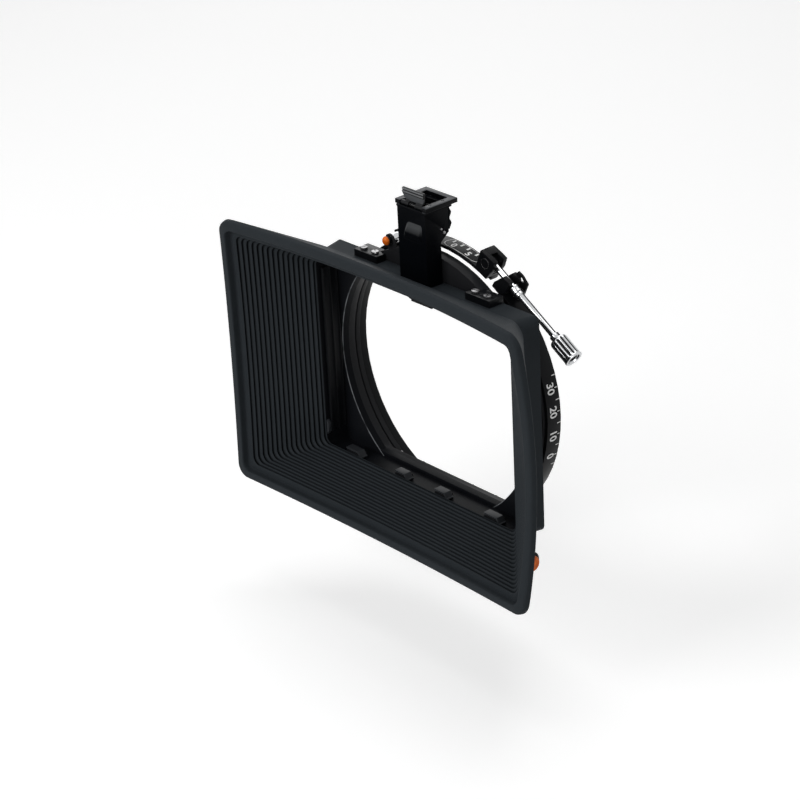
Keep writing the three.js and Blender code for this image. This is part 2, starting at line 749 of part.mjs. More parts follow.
function bridgeBlock(side) {
  const low = shellTop + seatGap;
  const block = box(side * bridgeInner, side * bridgeOuter, bridgeFront, plateFront, low, bridgeTop);
  const arch = barY(plateR + gap, archFront - gap, plateFront + overrun, 0, 0, ringSides);
  const holes = bridgeScrewPlaces.map((x) => (
    barZ(screwShankR + gap, low - overrun, bridgeTop + overrun, x, bridgeScrewY, smallSides)));
  return block.subtract(arch).subtract(fused(holes));
}

function bridgeScrews() {
  const reach = bridgeHeight + screwReach;
  return bridgeScrewPlaces.map((x) => slottedScrew(reach).translate([x, bridgeScrewY, bridgeTop + seatGap]));
}

function plateScrews() {
  const screw = slottedScrew(plateThickness + screwReach, plateScrewShare).rotate([-halfTurn / 2, 0, 0]);
  return plateScrewPlaces.flatMap((x) => [-1, 1].map((side) => (
    screw.translate([x, plateRear + seatGap, side * plateScrewZ]))));
}

// Socket tower: body with its ledge, screws, top frame and the frame's pins

function towerBody() {
  const taperLow = shellTop + towerTaperLow;
  const taperHigh = shellTop + towerTaperHigh;
  const outline = [
    [-towerFront, towerBase], [-towerFront + towerStem, towerBase], [-towerFront + towerStem, taperLow],
    [-towerRear, taperHigh], [-towerRear, towerTop], [-towerFront, towerTop],
  ];
  const ledgeX = towerHalfWidth + ledgeOut;
  const ledgeTop = towerTop - ledgeDrop;
  const ledge = box(-ledgeX, ledgeX, -towerFront, -towerRear + ledgeOut, ledgeTop - ledgeHeight, ledgeTop);
  const wide = socketHalfWidth;
  const socket = box(-wide, wide, -socketFront, -socketRear, socketFloor, towerTop + overrun);
  const clear = leverHalfWidth + gap;
  const chamberFront = -stopPinBack - stopPinR - gap;
  const bossLow = leverPinZ - leverBossR - gap;
  const under = box(-clear, clear, chamberFront, overrun, bossLow, socketFloor - socketFloorWall);
  const window = box(-clear, clear, -socketRear - seatGap, overrun, bossLow, towerTop + overrun);
  const through = towerHalfWidth + overrun;
  const pinHole = barX(leverPinR + gap, -through, through, -leverPinBack, leverPinZ, smallSides);
  const stopHole = barX(stopPinR + gap, -through, through, -stopPinBack, towerTop - stopPinDrop, smallSides);
  const flapX = latchHalfWidth + gap;
  const flapRelief = barX(latchBossR + gap, -flapX, flapX, latchY, latchZ);
  const bulgeMiddle = taperHigh + bulgeHeight / 2;
  const bulgeR = (bulgeHeight ** 2 / 4 + bulgeRise ** 2) / (2 * bulgeRise);
  const bulgeY = -towerFront - bulgeRise + bulgeR;
  const bulgeX = [bulgeShift - bulgeWidth / 2, bulgeShift + bulgeWidth / 2];
  const bulge = barX(bulgeR, ...bulgeX, bulgeY, bulgeMiddle, ringSides).intersect(
    box(...bulgeX, -towerFront - overrun, -socketFront - seatGap, towerBase, towerTop),
  );
  const holes = [-1, 1].map((side) => barZ(
    screwShankR + gap, towerBase - overrun, towerBase + towerScrewReach + gap,
    side * towerScrewShift, towerStemMiddle, smallSides,
  ));
  const pinHoles = framePinPlaces.map(([x, y]) => (
    barZ(framePinR + gap, towerTop - framePinReach - gap, towerTop + overrun, x, y, smallSides)));
  return prismX(outline, -towerHalfWidth, towerHalfWidth).add(ledge).add(bulge)
    .subtract(fused([socket, under, window, pinHole, stopHole, flapRelief, ...holes, ...pinHoles]));
}

function towerScrews() {
  const reach = towerBase - towerScrewSeat + towerScrewReach;
  const screw = slottedScrew(reach).rotate([halfTurn, 0, 0]);
  return [-1, 1].map((side) => (
    screw.translate([side * towerScrewShift, towerStemMiddle, towerScrewSeat - gap])));
}

function towerFrame() {
  const wide = towerHalfWidth + frameSideLip;
  const low = towerTop + seatGap;
  const back = -towerRear + frameRearLip;
  const plate = box(-wide, wide, -towerFront, back, low, frameTop);
  const hole = box(-socketHalfWidth, socketHalfWidth, -socketFront, back - frameRearBar, low - overrun, frameTop + overrun);
  const flapX = latchHalfWidth + gap;
  const notchBack = latchY + latchBossR + gap;
  const notch = box(-flapX, flapX, -towerFront - overrun, notchBack, low - overrun, frameTop + overrun);
  const pinEnd = flapX + latchPinEnd + gap;
  const pinHole = barX(latchPinR + gap, -pinEnd, pinEnd, latchY, latchZ, smallSides);
  const holes = framePinPlaces.map(([x, y]) => (
    barZ(framePinR + gap, low - overrun, frameTop + overrun, x, y, smallSides)));
  return plate.subtract(fused([hole, notch, pinHole, ...holes]));
}

function framePins() {
  return framePinPlaces.map(([x, y]) => (
    barZ(framePinR, towerTop - framePinReach, frameTop - seatGap, x, y, smallSides)));
}

// Latch flap with its pin and its torsion spring

function latchFlap() {
  const foot = frameTop + gap;
  const top = frameTop + latchRise;
  const lean = Math.tan(radians(latchLean)) * (top - foot);
  const reach = latchBossR * Math.SQRT1_2;
  const plate = prismX([
    [-towerFront, foot], [-towerFront + lean, top], [-towerFront + lean + latchPlate, top],
    [latchY + reach, latchZ + reach], [latchY - reach, latchZ + reach],
  ], -latchHalfWidth, latchHalfWidth);
  const boss = barX(latchBossR, -latchHalfWidth, latchHalfWidth, latchY, latchZ);
  const lipY = -towerFront + lean + latchPlate / 2;
  const lip = barX(latchLipR, -latchHalfWidth, latchHalfWidth, lipY, top + latchLipRise, smallSides);
  const through = latchHalfWidth + overrun;
  const pinHole = barX(latchPinR + gap, -through, through, latchY, latchZ, smallSides);
  const window = barX(latchBossR + gap, -latchWindow, latchWindow, latchY, latchZ);
  return fused([plate, boss, lip]).subtract(pinHole).subtract(window);
}

function latchPin() {
  const half = latchHalfWidth + gap + latchPinEnd;
  return barX(latchPinR, -half, half, latchY, latchZ, smallSides);
}

// Thumb lever with its pin, its torsion spring and the pin that the spring bears on

function thumbLever() {
  const back = -towerRear + leverStandOff;
  const front = back - leverPad;
  const y = -leverPinBack;
  const z = leverPinZ;
  const foot = towerTop - leverFootDrop;
  const top = towerTop - leverTopDrop;
  const teeth = [];
  for (let i = 0; i < leverTeeth; i += 1) {
    const low = foot + i * leverToothPitch;
    teeth.push([back - leverToothDepth, low], [back, low + leverToothPitch / 4]);
    teeth.push([back, low + (leverToothPitch * 3) / 4]);
  }
  const last = foot + leverTeeth * leverToothPitch;
  const arm = prismX([
    [y, z + leverBossR - gap / 2], [y + leverPinR, z - leverBossR + gap], ...teeth,
    [back - leverToothDepth, last], [back - leverToothDepth / 2, top], [front, top],
    [front, socketFloor - socketFloorWall - gap],
  ], -leverHalfWidth, leverHalfWidth);
  const boss = barX(leverBossR, -leverHalfWidth, leverHalfWidth, y, z);
  const through = leverHalfWidth + overrun;
  const pinHole = barX(leverPinR + gap, -through, through, y, z, smallSides);
  const window = barX(leverBossR + gap, -latchWindow, latchWindow, y, z);
  return fused([arm, boss]).subtract(pinHole).subtract(window);
}

const leverPin = () => barX(leverPinR, -towerHalfWidth, towerHalfWidth, -leverPinBack, leverPinZ, smallSides);
const springPin = () => (
  barX(stopPinR, -towerHalfWidth, towerHalfWidth, -stopPinBack, towerTop - stopPinDrop, smallSides));

// Coil of a torsion spring about a pin along X
function pinCoil(name, pinR, y, z) {
  const length = 2 * (latchWindow - gap);
  const geometry = spring(name, pinR + gap + springWire, length);
  geometry.rotateZ(-quarterTurn);
  geometry.translate(-length / 2, y, z);
  return solid(geometry);
}

// Stage lock: barrel, pin, spring, collar and knob on one axis along Y

const lockFront = archFront + gap;
const lockShelf = archFront + lockBossDepth + gap;
const lockRear = -ringDepth - 2 * gap;
const lockTip = -ringDepth - gap;
const lockShoulderRear = lockRear - gap;
const lockShoulderFront = lockShoulderRear - lockShoulder;
const lockCollarFront = archFront - gap - lockCollarLength;
const lockKnobFront = lockCollarFront - seatGap - lockKnobLength;
const lockBoreEnd = lockKnobFront + lockKnobLength / 3;

function lockBarrel() {
  const pinHoleR = lockPinR + gap;
  return turnedY([
    [pinHoleR, lockFront], [lockNeckR, lockFront], [lockNeckR, lockShelf], [lockFlangeR, lockShelf],
    [lockFlangeR, lockRear], [lockChamberR, lockRear], [lockChamberR, lockFront + lockWall],
    [pinHoleR, lockFront + lockWall],
  ], roundSides).translate([lockX, 0, lockZ]);
}

function lockPin() {
  const top = lockBoreEnd + gap;
  const shoulderR = lockShoulderR;
  return turnedY([
    [0, top], [lockPinR, top], [lockPinR, lockShoulderFront], [shoulderR, lockShoulderFront],
    [shoulderR, lockShoulderRear], [lockPinR, lockShoulderRear], [lockPinR, lockTip], [0, lockTip],
  ], smallSides).translate([lockX, 0, lockZ]);
}

function lockCollar() {
  const outer = barY(lockCollarR, lockCollarFront, archFront - gap);
  const inner = barY(lockPinR + gap, lockCollarFront - overrun, archFront);
  return outer.subtract(inner).translate([lockX, 0, lockZ]);
}

function lockKnob() {
  const rear = lockCollarFront - seatGap;
  const half = lockKnobR / 2;
  const bored = barY(lockPinR + gap, lockBoreEnd, rear + overrun, 0, 0, smallSides);
  return turnedY([
    [0, lockKnobFront], [half, lockKnobFront + half / 4], [lockKnobR - half / 4, lockKnobFront + half],
    [lockKnobR, rear], [0, rear],
  ], roundSides).subtract(bored).translate([lockX, 0, lockZ]);
}

function lockSpring() {
  const start = lockFront + lockWall + gap;
  const geometry = spring('lock_spring', lockPinR + gap + springWire, lockShoulderFront - gap - start);
  geometry.translate(lockX, start, lockZ);
  return solid(geometry);
}

// Tray release button in its boss on the hood

function trayButton() {
  const edge = buttonCrown / 2;
  const boreEnd = buttonTip - buttonCrown;
  return turnedX([
    [0, boreEnd], [buttonBoreR, boreEnd], [buttonBoreR, buttonInner], [buttonFlangeR, buttonInner],
    [buttonFlangeR, buttonInner + buttonFlange], [buttonR, buttonInner + buttonFlange],
    [buttonR, buttonTip - edge], [buttonR - edge / 2, buttonTip - edge / 3], [0, buttonTip],
  ], roundSides).translate([0, -buttonY, -buttonZ]);
}

function buttonCollar() {
  const start = buttonBossEnd + seatGap;
  const outer = barX(buttonBossR, start, start + buttonBezel);
  const inner = barX(buttonR + gap, start - overrun, start + buttonBezel + overrun);
  return outer.subtract(inner).translate([0, -buttonY, -buttonZ]);
}

function buttonSpring() {
  const start = buttonCavity + gap;
  const coilR = buttonBoreR - gap - springWire;
  const geometry = spring('button_spring', coilR, buttonTip - buttonCrown - gap - start);
  geometry.rotateZ(-quarterTurn);
  geometry.translate(start, -buttonY, -buttonZ);
  return solid(geometry);
}

// Swing screw: trunnion, collar, screw and grip, drawn along X in a group on the pivot

function trunnion() {
  const front = -ringDepth - screwPlane + seatGap;
  const bar = barY(trunnionR, front, -screwPlane - seatGap);
  return bar.subtract(barX(screwR + gap, -seatR, seatR));
}

function thrustCollar() {
  const start = seatR + gap;
  const outer = barX(collarR, start, start + collarLength);
  return outer.subtract(barX(screwR + gap, start - overrun, start + collarLength + overrun));
}

function clampScrew() {
  const shoulder = seatR + collarLength + 2 * gap;
  const shoulderR = collarR - gap;
  const shoulderEnd = shoulder + screwR;
  const end = gripStart + gripSocketDepth - gap;
  const neckEnd = gripStart - gap;
  return turnedX([
    [0, -screwTail], [screwR, -screwTail], [screwR, shoulder], [shoulderR, shoulder], [shoulderR, shoulderEnd],
    [screwR, shoulderEnd], [screwR, neckEnd - gripNeckLength], [gripNeckR, neckEnd - gripNeckLength],
    [gripNeckR, neckEnd], [screwR, neckEnd], [screwR, end], [0, end],
  ], roundSides);
}

function clampGrip() {
  const outline = [];
  const steps = 4 * gripFlutes;
  for (let i = 0; i < steps; i += 1) {
    const angle = (2 * Math.PI * i) / steps;
    const r = gripR - (gripFluteDepth * (1 - Math.cos(gripFlutes * angle))) / 2;
    outline.push([r * Math.cos(angle), r * Math.sin(angle)]);
  }
  const end = gripStart + gripLength;
  const edge = gripR / 4;
  const turned = turnedX([
    [0, gripStart], [gripR - edge, gripStart], [gripR + gap, gripStart + edge + gap],
    [gripR + gap, end - edge - gap], [gripR - edge, end], [0, end],
  ], ringSides);
  const bore = barX(screwR + gap, gripStart - overrun, gripStart + gripSocketDepth);
  const socket = barX(gripSocketR, end - gripSocketDepth, end + overrun, 0, 0, gripSocketSides);
  return prismX(outline, gripStart, end).intersect(turned).subtract(bore).subtract(socket);
}

// Assembly

const matteBox = new THREE.Group();

const looks = {
  moulding: [0x1b1c1e, 0.62, 0],
  blackMetal: [0x141517, 0.38, 0.8],
  blackPlastic: [0x17181a, 0.5, 0],
  greyCatch: [0x3a3d40, 0.45, 0],
  chrome: [0xc8cacc, 0.2, 1],
  steel: [0x8f9295, 0.32, 1],
  orange: [0xe8591c, 0.4, 0],
};

function add(name, body, look, parent = matteBox) {
  const [color, roughness, metalness] = looks[look];
  const material = new THREE.MeshStandardMaterial({ color, roughness, metalness, flatShading: true });
  const mesh = new THREE.Mesh(geometryOf(body), material);
  mesh.name = name;
  parent.add(mesh);
}

const addEach = (name, bodies, look) => bodies.forEach((body, i) => add(`${name}_${i + 1}`, body, look));

add('hood', hood(), 'moulding');
add('stage_plate', stagePlate(), 'blackMetal');
addEach('plate_screw', plateScrews(), 'steel');
add('clamp_ring', clampRing(), 'blackMetal');
add('retaining_wire', solid(retainingWire()), 'steel');
add('tray_rail_left', trayRail(-1), 'blackPlastic');
add('tray_rail_right', trayRail(1), 'blackPlastic');
addEach('tray_catch', catchShares.map((share, i) => (
  trayCatch(share * pocketHalfWidth, catchWidths[i]))), 'greyCatch');
add('top_catch', topCatch(), 'blackPlastic');
add('side_catch', sideCatch(), 'greyCatch');
add('bridge_block_left', bridgeBlock(-1), 'blackMetal');
add('bridge_block_right', bridgeBlock(1), 'blackMetal');
addEach('bridge_screw', bridgeScrews(), 'chrome');
add('tower_body', towerBody(), 'blackMetal');
addEach('tower_screw', towerScrews(), 'steel');
add('tower_frame', towerFrame(), 'blackMetal');
addEach('frame_pin', framePins(), 'steel');
add('latch_flap', latchFlap(), 'blackMetal');
add('latch_pin', latchPin(), 'steel');
add('latch_spring', pinCoil('latch_spring', latchPinR, latchY, latchZ), 'steel');
add('thumb_lever', thumbLever(), 'blackMetal');
add('lever_pin', leverPin(), 'steel');
add('lever_spring', pinCoil('lever_spring', leverPinR, -leverPinBack, leverPinZ), 'steel');
add('spring_pin', springPin(), 'steel');
add('lock_barrel', lockBarrel(), 'chrome');
add('lock_pin', lockPin(), 'steel');
add('lock_spring', lockSpring(), 'steel');
add('lock_collar', lockCollar(), 'blackPlastic');
add('lock_knob', lockKnob(), 'orange');
add('tray_button', trayButton(), 'orange');
add('button_collar', buttonCollar(), 'blackPlastic');
add('button_spring', buttonSpring(), 'steel');

const swing = new THREE.Group();
swing.position.set(pivotX, screwPlane, pivotZ);
swing.rotation.y = radians(screwDrop);
matteBox.add(swing);
add('clamp_trunnion', trunnion(), 'steel', swing);
add('thrust_collar', thrustCollar(), 'chrome', swing);
add('clamp_screw', clampScrew(), 'chrome', swing);
add('clamp_grip', clampGrip(), 'chrome', swing);

export default matteBox;
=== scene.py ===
"""Looks of the clamp-on matte box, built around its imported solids.

Lengths in the tables are in millimetres and turn into metres where a mesh is made.
X points right seen from the front, Y back towards the lens and Z up.
"""

import json

import bmesh
import bpy
import numpy as np
from mathutils import Matrix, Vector
from mathutils.kdtree import KDTree


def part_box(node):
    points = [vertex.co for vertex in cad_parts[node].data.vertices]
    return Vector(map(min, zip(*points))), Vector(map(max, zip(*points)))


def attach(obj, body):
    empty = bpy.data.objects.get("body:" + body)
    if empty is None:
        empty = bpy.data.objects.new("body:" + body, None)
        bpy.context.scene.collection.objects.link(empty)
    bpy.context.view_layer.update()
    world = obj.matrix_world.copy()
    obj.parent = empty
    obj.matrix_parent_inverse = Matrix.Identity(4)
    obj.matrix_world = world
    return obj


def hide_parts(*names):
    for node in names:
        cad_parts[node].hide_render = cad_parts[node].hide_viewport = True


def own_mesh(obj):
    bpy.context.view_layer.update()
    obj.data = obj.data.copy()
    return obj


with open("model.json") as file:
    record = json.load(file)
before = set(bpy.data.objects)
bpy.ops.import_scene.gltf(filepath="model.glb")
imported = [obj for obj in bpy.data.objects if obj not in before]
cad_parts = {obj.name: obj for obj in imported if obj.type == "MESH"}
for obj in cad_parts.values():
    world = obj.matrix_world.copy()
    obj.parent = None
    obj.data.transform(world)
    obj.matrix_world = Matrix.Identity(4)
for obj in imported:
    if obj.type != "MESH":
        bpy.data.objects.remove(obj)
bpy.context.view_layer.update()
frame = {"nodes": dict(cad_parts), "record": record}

MM = 0.001

# Planes across the axis, from the ring towards the rim, as places along Y
PLATE_FRONT, WALL_FRONT = -13.3, -17.5
FLARE_FOOT, POCKET_FRONT, RIM = -24.5, -31.0, -64.5

# Hood and stage: half width and half height, and the height of their middle over the axis
SHELL, POCKET, THROAT = (76.2, 59.8), (73.6, 56.6), (73.5, 53.7)
RIM_OUT, LIP, LEDGE = (112.3, 76.0), (106.9, 70.6), (103.8, 67.5)
STAGE_WALL = (74.2, 58.0)
MIDDLE = -0.7
SHELL_TOP = 59.1

# How far the rim's middle stands back and out, at the top and at the sides
BOW_TOP, BOW_SIDE, BULGE_TOP, BULGE_SIDE = 5.2, 4.5, 2.24, 4.4

# Ribs of the light trap, corner radii, and the rear end of the faces inside the stage
RIBS = 16
RIM_RADIUS, FLARE_RADIUS, INNER_RADIUS = 7.5, 8, 4
STAGE_REAR = PLATE_FRONT - 0.02

# Clamp ring, and the light opening with its straight cuts above and below
RING_R = 76.0
OPENING_R, OPENING_H = 71.3, 55.0

# Axes of the tray button (in Y and Z), the stage lock (in X and Z) and the latch's pin
BUTTON, BUTTON_SIDES = (-40.0, -61.0), 72
BUTTON_AT = (0, *BUTTON)
LOCK, KNURLS = (-29.822, 71.642), 30
LOCK_AT = (LOCK[0], 0, LOCK[1])
LATCH_PIN = (0, -25.4, 101.3)

# Swing screw: its pivot, how far it leans down, and the flutes of its grip
PIVOT = (33.797, -4.5, 74.001)
SCREW_DOWN = np.radians(32.5)
GRIP_FLUTES = 12

# Edges below SMOOTH degrees are smooth, and those above BEVEL_FROM degrees are rounded off
SMOOTH = 32
BEVEL_FROM, BEVEL_STEPS = 40, 3

# Points of a rounded corner in a profile, and steps of a hood loop's corners and sides
CURVE_STEPS = 4
CORNER_STEPS, LONG_STEPS, SHORT_STEPS = 12, 44, 30

# Distances in metres below which two points are one, in new meshes and in the solids' copies
SAME_POINT, SAME_CAD_POINT = 1e-7, 2e-6
BOX_FACES = [(0, 1, 3, 2), (4, 6, 7, 5), (0, 4, 5, 1), (2, 3, 7, 6), (0, 2, 6, 4), (1, 5, 7, 3)]


# Mesh tools


def arr(values):
    return np.asarray(values, float)


def in_mm(corners):
    """The corners of a box, given in metres, as arrays in millimetres."""
    return [arr(c) / MM for c in corners]


def mesh_object(name, points, faces):
    """A mesh object from points in millimetres and lists of corner numbers."""
    data = bpy.data.meshes.new(name)
    data.from_pydata((arr(points) * MM).tolist(), [], faces)
    data.update()
    made = bpy.data.objects.new(name, data)
    bpy.context.scene.collection.objects.link(made)
    return made


def smoothed(made, angle):
    """Smooths every edge below the angle."""
    made.data.shade_smooth()
    made.data.set_sharp_from_angle(angle=np.radians(angle))
    return made


def tidy(made, angle=SMOOTH):
    """Merges doubles, turns the faces outwards and smooths the mesh."""
    bm = bmesh.new()
    bm.from_mesh(made.data)
    bmesh.ops.remove_doubles(bm, verts=bm.verts, dist=SAME_POINT)
    bmesh.ops.dissolve_degenerate(bm, edges=bm.edges, dist=SAME_POINT)
    bmesh.ops.recalc_face_normals(bm, faces=bm.faces)
    bm.to_mesh(made.data)
    bm.free()
    return smoothed(made, angle)


def quads(rows, cols, closed):
    """Faces over a grid of rows * cols points: k runs round each loop, i from loop to loop.
    With closed, the last loop joins the first."""
    i, k = np.meshgrid(np.arange(rows if closed else rows - 1), np.arange(cols), indexing="ij")
    i2, k2 = (i + 1) % rows, (k + 1) % cols
    corners = [i * cols + k, i2 * cols + k, i2 * cols + k2, i * cols + k2]
    return np.stack(corners, -1).reshape(-1, 4).tolist()


def grid(name, points, closed=True, angle=SMOOTH):
    """A surface over a grid of points[i, k]: i counts the loops and k runs round each."""
    faces = quads(*points.shape[:2], closed)
    return tidy(mesh_object(name, points.reshape(-1, 3), faces), angle)


def axes(along, side):
    """Three directions at right angles: along a body, and two across it."""
    along, side = arr(along), arr(side)
    return along, side, np.cross(along, side)


ALONG_X = axes((1, 0, 0), (0, 1, 0))
ALONG_Y = axes((0, 1, 0), (0, 0, 1))
ALONG_Z = axes((0, 0, 1), (1, 0, 0))
ALONG_SCREW = axes((np.cos(SCREW_DOWN), 0, -np.sin(SCREW_DOWN)), (0, 1, 0))


def turned(name, at, frame_axes, profile, sides=64, wave=None, angle=SMOOTH):
    """A body of revolution: at + along * t + r * (side * cos a + third * sin a), where the
    profile gives r and t, and wave, if given, changes r by the angle a and by t."""
    along, side, third = frame_axes
    r, t = arr(profile).T
    a = np.linspace(0, 2 * np.pi, sides, endpoint=False)
    radius = r[:, None] + (wave(a[None, :], t[:, None], r[:, None]) if wave else 0)
    ring = side * np.cos(a)[:, None] + third * np.sin(a)[:, None]
    points = arr(at) + along * t[:, None, None] + radius[..., None] * ring
    return grid(name, points, closed=r[0] > 0, angle=angle)


def rounded(corners, r, closed=False):
    """A profile whose inner corners are replaced by curves: each curve point is the blend
    (1-s)^2 a + 2 s (1-s) corner + s^2 b between the points a and b at distance r from it."""
    pts = [arr(c) for c in corners]
    out = []
    for n, c in enumerate(pts):
        if not closed and n in (0, len(pts) - 1):
            out.append(c)
            continue
        before, after = pts[n - 1], pts[(n + 1) % len(pts)]
        reach = min(r, 0.45 * np.linalg.norm(before - c), 0.45 * np.linalg.norm(after - c))
        a = c + (before - c) / np.linalg.norm(before - c) * reach
        b = c + (after - c) / np.linalg.norm(after - c) * reach
        for s in np.linspace(0, 1, CURVE_STEPS):
            out.append((1 - s) ** 2 * a + 2 * s * (1 - s) * c + s**2 * b)
    return out


def rod_profile(r, low, high):
    """The profile of a round rod: its radius is r from low to high along its axis."""
    return [(0, low), (r, low), (r, high), (0, high)]


def tube_profile(inner, outer, low, high, edge):
    """The closed profile of a tube from low to high along its axis, with rounded edges."""
    return rounded([(inner, low), (outer, low), (outer, high), (inner, high)], edge, closed=True)


def box_tool(low, high):
    """A box between two corners, as a tool for cut() or a flat mark."""
    x, y, z = zip(low, high)
    points = [(x[i], y[j], z[k]) for i in (0, 1) for j in (0, 1) for k in (0, 1)]
    return tidy(mesh_object("tool", points, BOX_FACES))


def sleeve(name, loops, angle=SMOOTH):
    """A closed body through a list of loops with the same number of points, flat at both ends."""
    points = np.stack([arr(loop) for loop in loops])
    rows, cols = points.shape[:2]
    ends = [list(range(cols)), list(range((rows - 1) * cols, rows * cols))]
    faces = quads(rows, cols, False) + ends
    return tidy(mesh_object(name, points.reshape(-1, 3), faces), angle)


def prism(name, outline, low, high, axis, edge=0.0):
    """A flat outline drawn out along one axis, with its edges rounded off."""

    def loop(level):
        return [tuple(np.insert(arr(point), axis, level)) for point in outline]

    made = sleeve(name, [loop(low), loop(high)])
    return bevelled(made, edge) if edge else made


def bevelled(made, width):
    """Rounds off the sharp edges."""
    step = made.modifiers.new("edges", "BEVEL")
    step.width, step.segments, step.limit_method = width * MM, BEVEL_STEPS, "ANGLE"
    step.angle_limit = np.radians(BEVEL_FROM)
    step.miter_outer = "MITER_ARC"
    return settle(made)


def settle(made, angle=SMOOTH):
    """Puts what the modifiers make into the mesh, and removes them."""
    graph = bpy.context.evaluated_depsgraph_get()
    data = bpy.data.meshes.new_from_object(made.evaluated_get(graph))
    made.modifiers.clear()
    made.data = data
    return smoothed(made, angle)


def cut(made, tools, operation="DIFFERENCE", angle=SMOOTH):
    """Cuts the tools from a mesh, or joins them to it, and deletes them."""
    for tool in tools:
        step = made.modifiers.new("cut", "BOOLEAN")
        step.object, step.operation, step.solver = tool, operation, "EXACT"
    settle(made, angle)
    for tool in tools:
        bpy.data.objects.remove(tool)
    return made


def copy_of(node):
    """A merged copy of a solid's mesh, with its flat faces whole again."""
    made = bpy.data.objects.new(node + "_formed", frame["nodes"][node].data.copy())
    made.data.materials.clear()
    bpy.context.scene.collection.objects.link(made)
    bm = bmesh.new()
    bm.from_mesh(made.data)
    bmesh.ops.remove_doubles(bm, verts=bm.verts, dist=SAME_CAD_POINT)
    bmesh.ops.dissolve_limit(bm, angle_limit=np.radians(1), verts=bm.verts, edges=bm.edges)
    bm.to_mesh(made.data)
    bm.free()
    return made


def softened(node, width, tools=(), joined=()):
    """A solid's copy with its edges rounded off, after cuts and additions."""
    made = copy_of(node)
    if joined:
        cut(made, list(joined), "UNION")
    if tools:
        cut(made, list(tools))
    return bevelled(made, width)


# Finishes


class Value:
    """A number socket whose arithmetic adds Math nodes."""

    def __init__(self, nodes, socket):
        self.nodes, self.socket = nodes, socket

    def __add__(self, other):
        return self.nodes.math("ADD", self, other)

    def __sub__(self, other):
        return self.nodes.math("SUBTRACT", self, other)

    def __rsub__(self, other):
        return self.nodes.math("SUBTRACT", other, self)

    def __mul__(self, other):
        return self.nodes.math("MULTIPLY", self, other)

    def __pow__(self, other):
        return self.nodes.math("POWER", self, other)

    __radd__, __rmul__ = __add__, __mul__


class Nodes:
    """A node tree; node() adds every node."""

    def __init__(self, tree):
        self.tree = tree

    def node(self, kind, settings=None, **sockets):
        """A node with its settings; sockets are named, or numbered as n0, n1 and so on."""
        made = self.tree.nodes.new(kind)
        for key, value in (settings or {}).items():
            setattr(made, key, value)
        for key, value in sockets.items():
            numbered = key[0] == "n" and key[1:].isdigit()
            self.feed(made.inputs[int(key[1:]) if numbered else key.replace("_", " ")], value)
        return made

    def feed(self, socket, value):
        if isinstance(value, Value):
            value = value.socket
        if isinstance(value, bpy.types.NodeSocket):
            self.tree.links.new(value, socket)
        else:
            socket.default_value = value

    def math(self, operation, *values):
        operands = {f"n{i}": value for i, value in enumerate(values)}
        made = self.node("ShaderNodeMath", {"operation": operation}, **operands)
        return Value(self, made.outputs[0])

    def seen(self):
        """1 for what the camera sees itself, in a mirror or through glass, and 0 for light."""
        rays = self.node("ShaderNodeLightPath").outputs
        either = self.math("MAXIMUM", rays["Is Camera Ray"], rays["Is Glossy Ray"])
        return self.math("MAXIMUM", either, rays["Is Transmission Ray"])


class Finish(Nodes):
    """A material with one Principled shader, whose colours and gloss are worked out in nodes."""

    def __init__(self, name, colour, roughness, metallic=0.0, **fixed):
        self.material = bpy.data.materials.new(name)
        self.material.use_nodes = True
        super().__init__(self.material.node_tree)
        self.shader = self.tree.nodes["Principled BSDF"]
        self.shader.inputs["Base Color"].default_value = (*colour, 1)
        self.shader.inputs["Roughness"].default_value = roughness
        self.shader.inputs["Metallic"].default_value = metallic
        for socket, value in fixed.items():
            self.shader.inputs[socket.replace("_", " ")].default_value = value
        self.place = self.node("ShaderNodeTexCoord").outputs["Object"]
        self.material.diffuse_color = (*colour, 1)

    def noise(self, size, detail, rough=0.5, place=None):
        """Noise from 0 to 1 whose bumps are about size millimetres wide."""
        vector, scale = place or self.place, 1 / (size * MM)
        settings = {"Vector": vector, "Scale": scale, "Detail": detail, "Roughness": rough}
        return Value(self, self.node("ShaderNodeTexNoise", **settings).outputs["Fac"])

    def stretched(self, factors):
        """Object coordinates scaled along each axis, for streaks."""
        return self.node("ShaderNodeMapping", Vector=self.place, Scale=factors).outputs["Vector"]

    def parts(self):
        """The object coordinates x, y and z, in metres."""
        made = self.node("ShaderNodeSeparateXYZ", Vector=self.place)
        return [Value(self, socket) for socket in made.outputs]

    def ramp(self, value, low, high):
        """0 below low, 1 above high, and straight between."""
        made = self.node("ShaderNodeMapRange", Value=value, From_Min=low, From_Max=high)
        return Value(self, made.outputs["Result"])

    def span(self, value, low, high):
        """A ramp of a length between two places in millimetres."""
        return self.ramp(value, low * MM, high * MM)

    def distance(self, value):
        """How far a place is from zero, on either side."""
        return self.math("ABSOLUTE", value)

    def blend(self, mask, first, second):
        """The first colour where the mask is 0 and the second where it is 1."""
        made = self.node("ShaderNodeMix", {"data_type": "RGBA"})
        self.feed(made.inputs["Factor"], mask)
        for socket, colour in ((6, first), (7, second)):
            self.feed(made.inputs[socket], (*colour, 1) if isinstance(colour, tuple) else colour)
        return made.outputs[2]

    def set(self, socket, value):
        self.feed(self.shader.inputs[socket], value)

    def bump(self, height, depth, strength):
        """Height from 0 to 1 stands for depth millimetres."""
        made = self.node("ShaderNodeBump", Height=height, Strength=strength, Distance=depth * MM)
        self.feed(self.shader.inputs["Normal"], made.outputs["Normal"])


# Distance between the lines that turning leaves
TURNED_STEP = 0.35


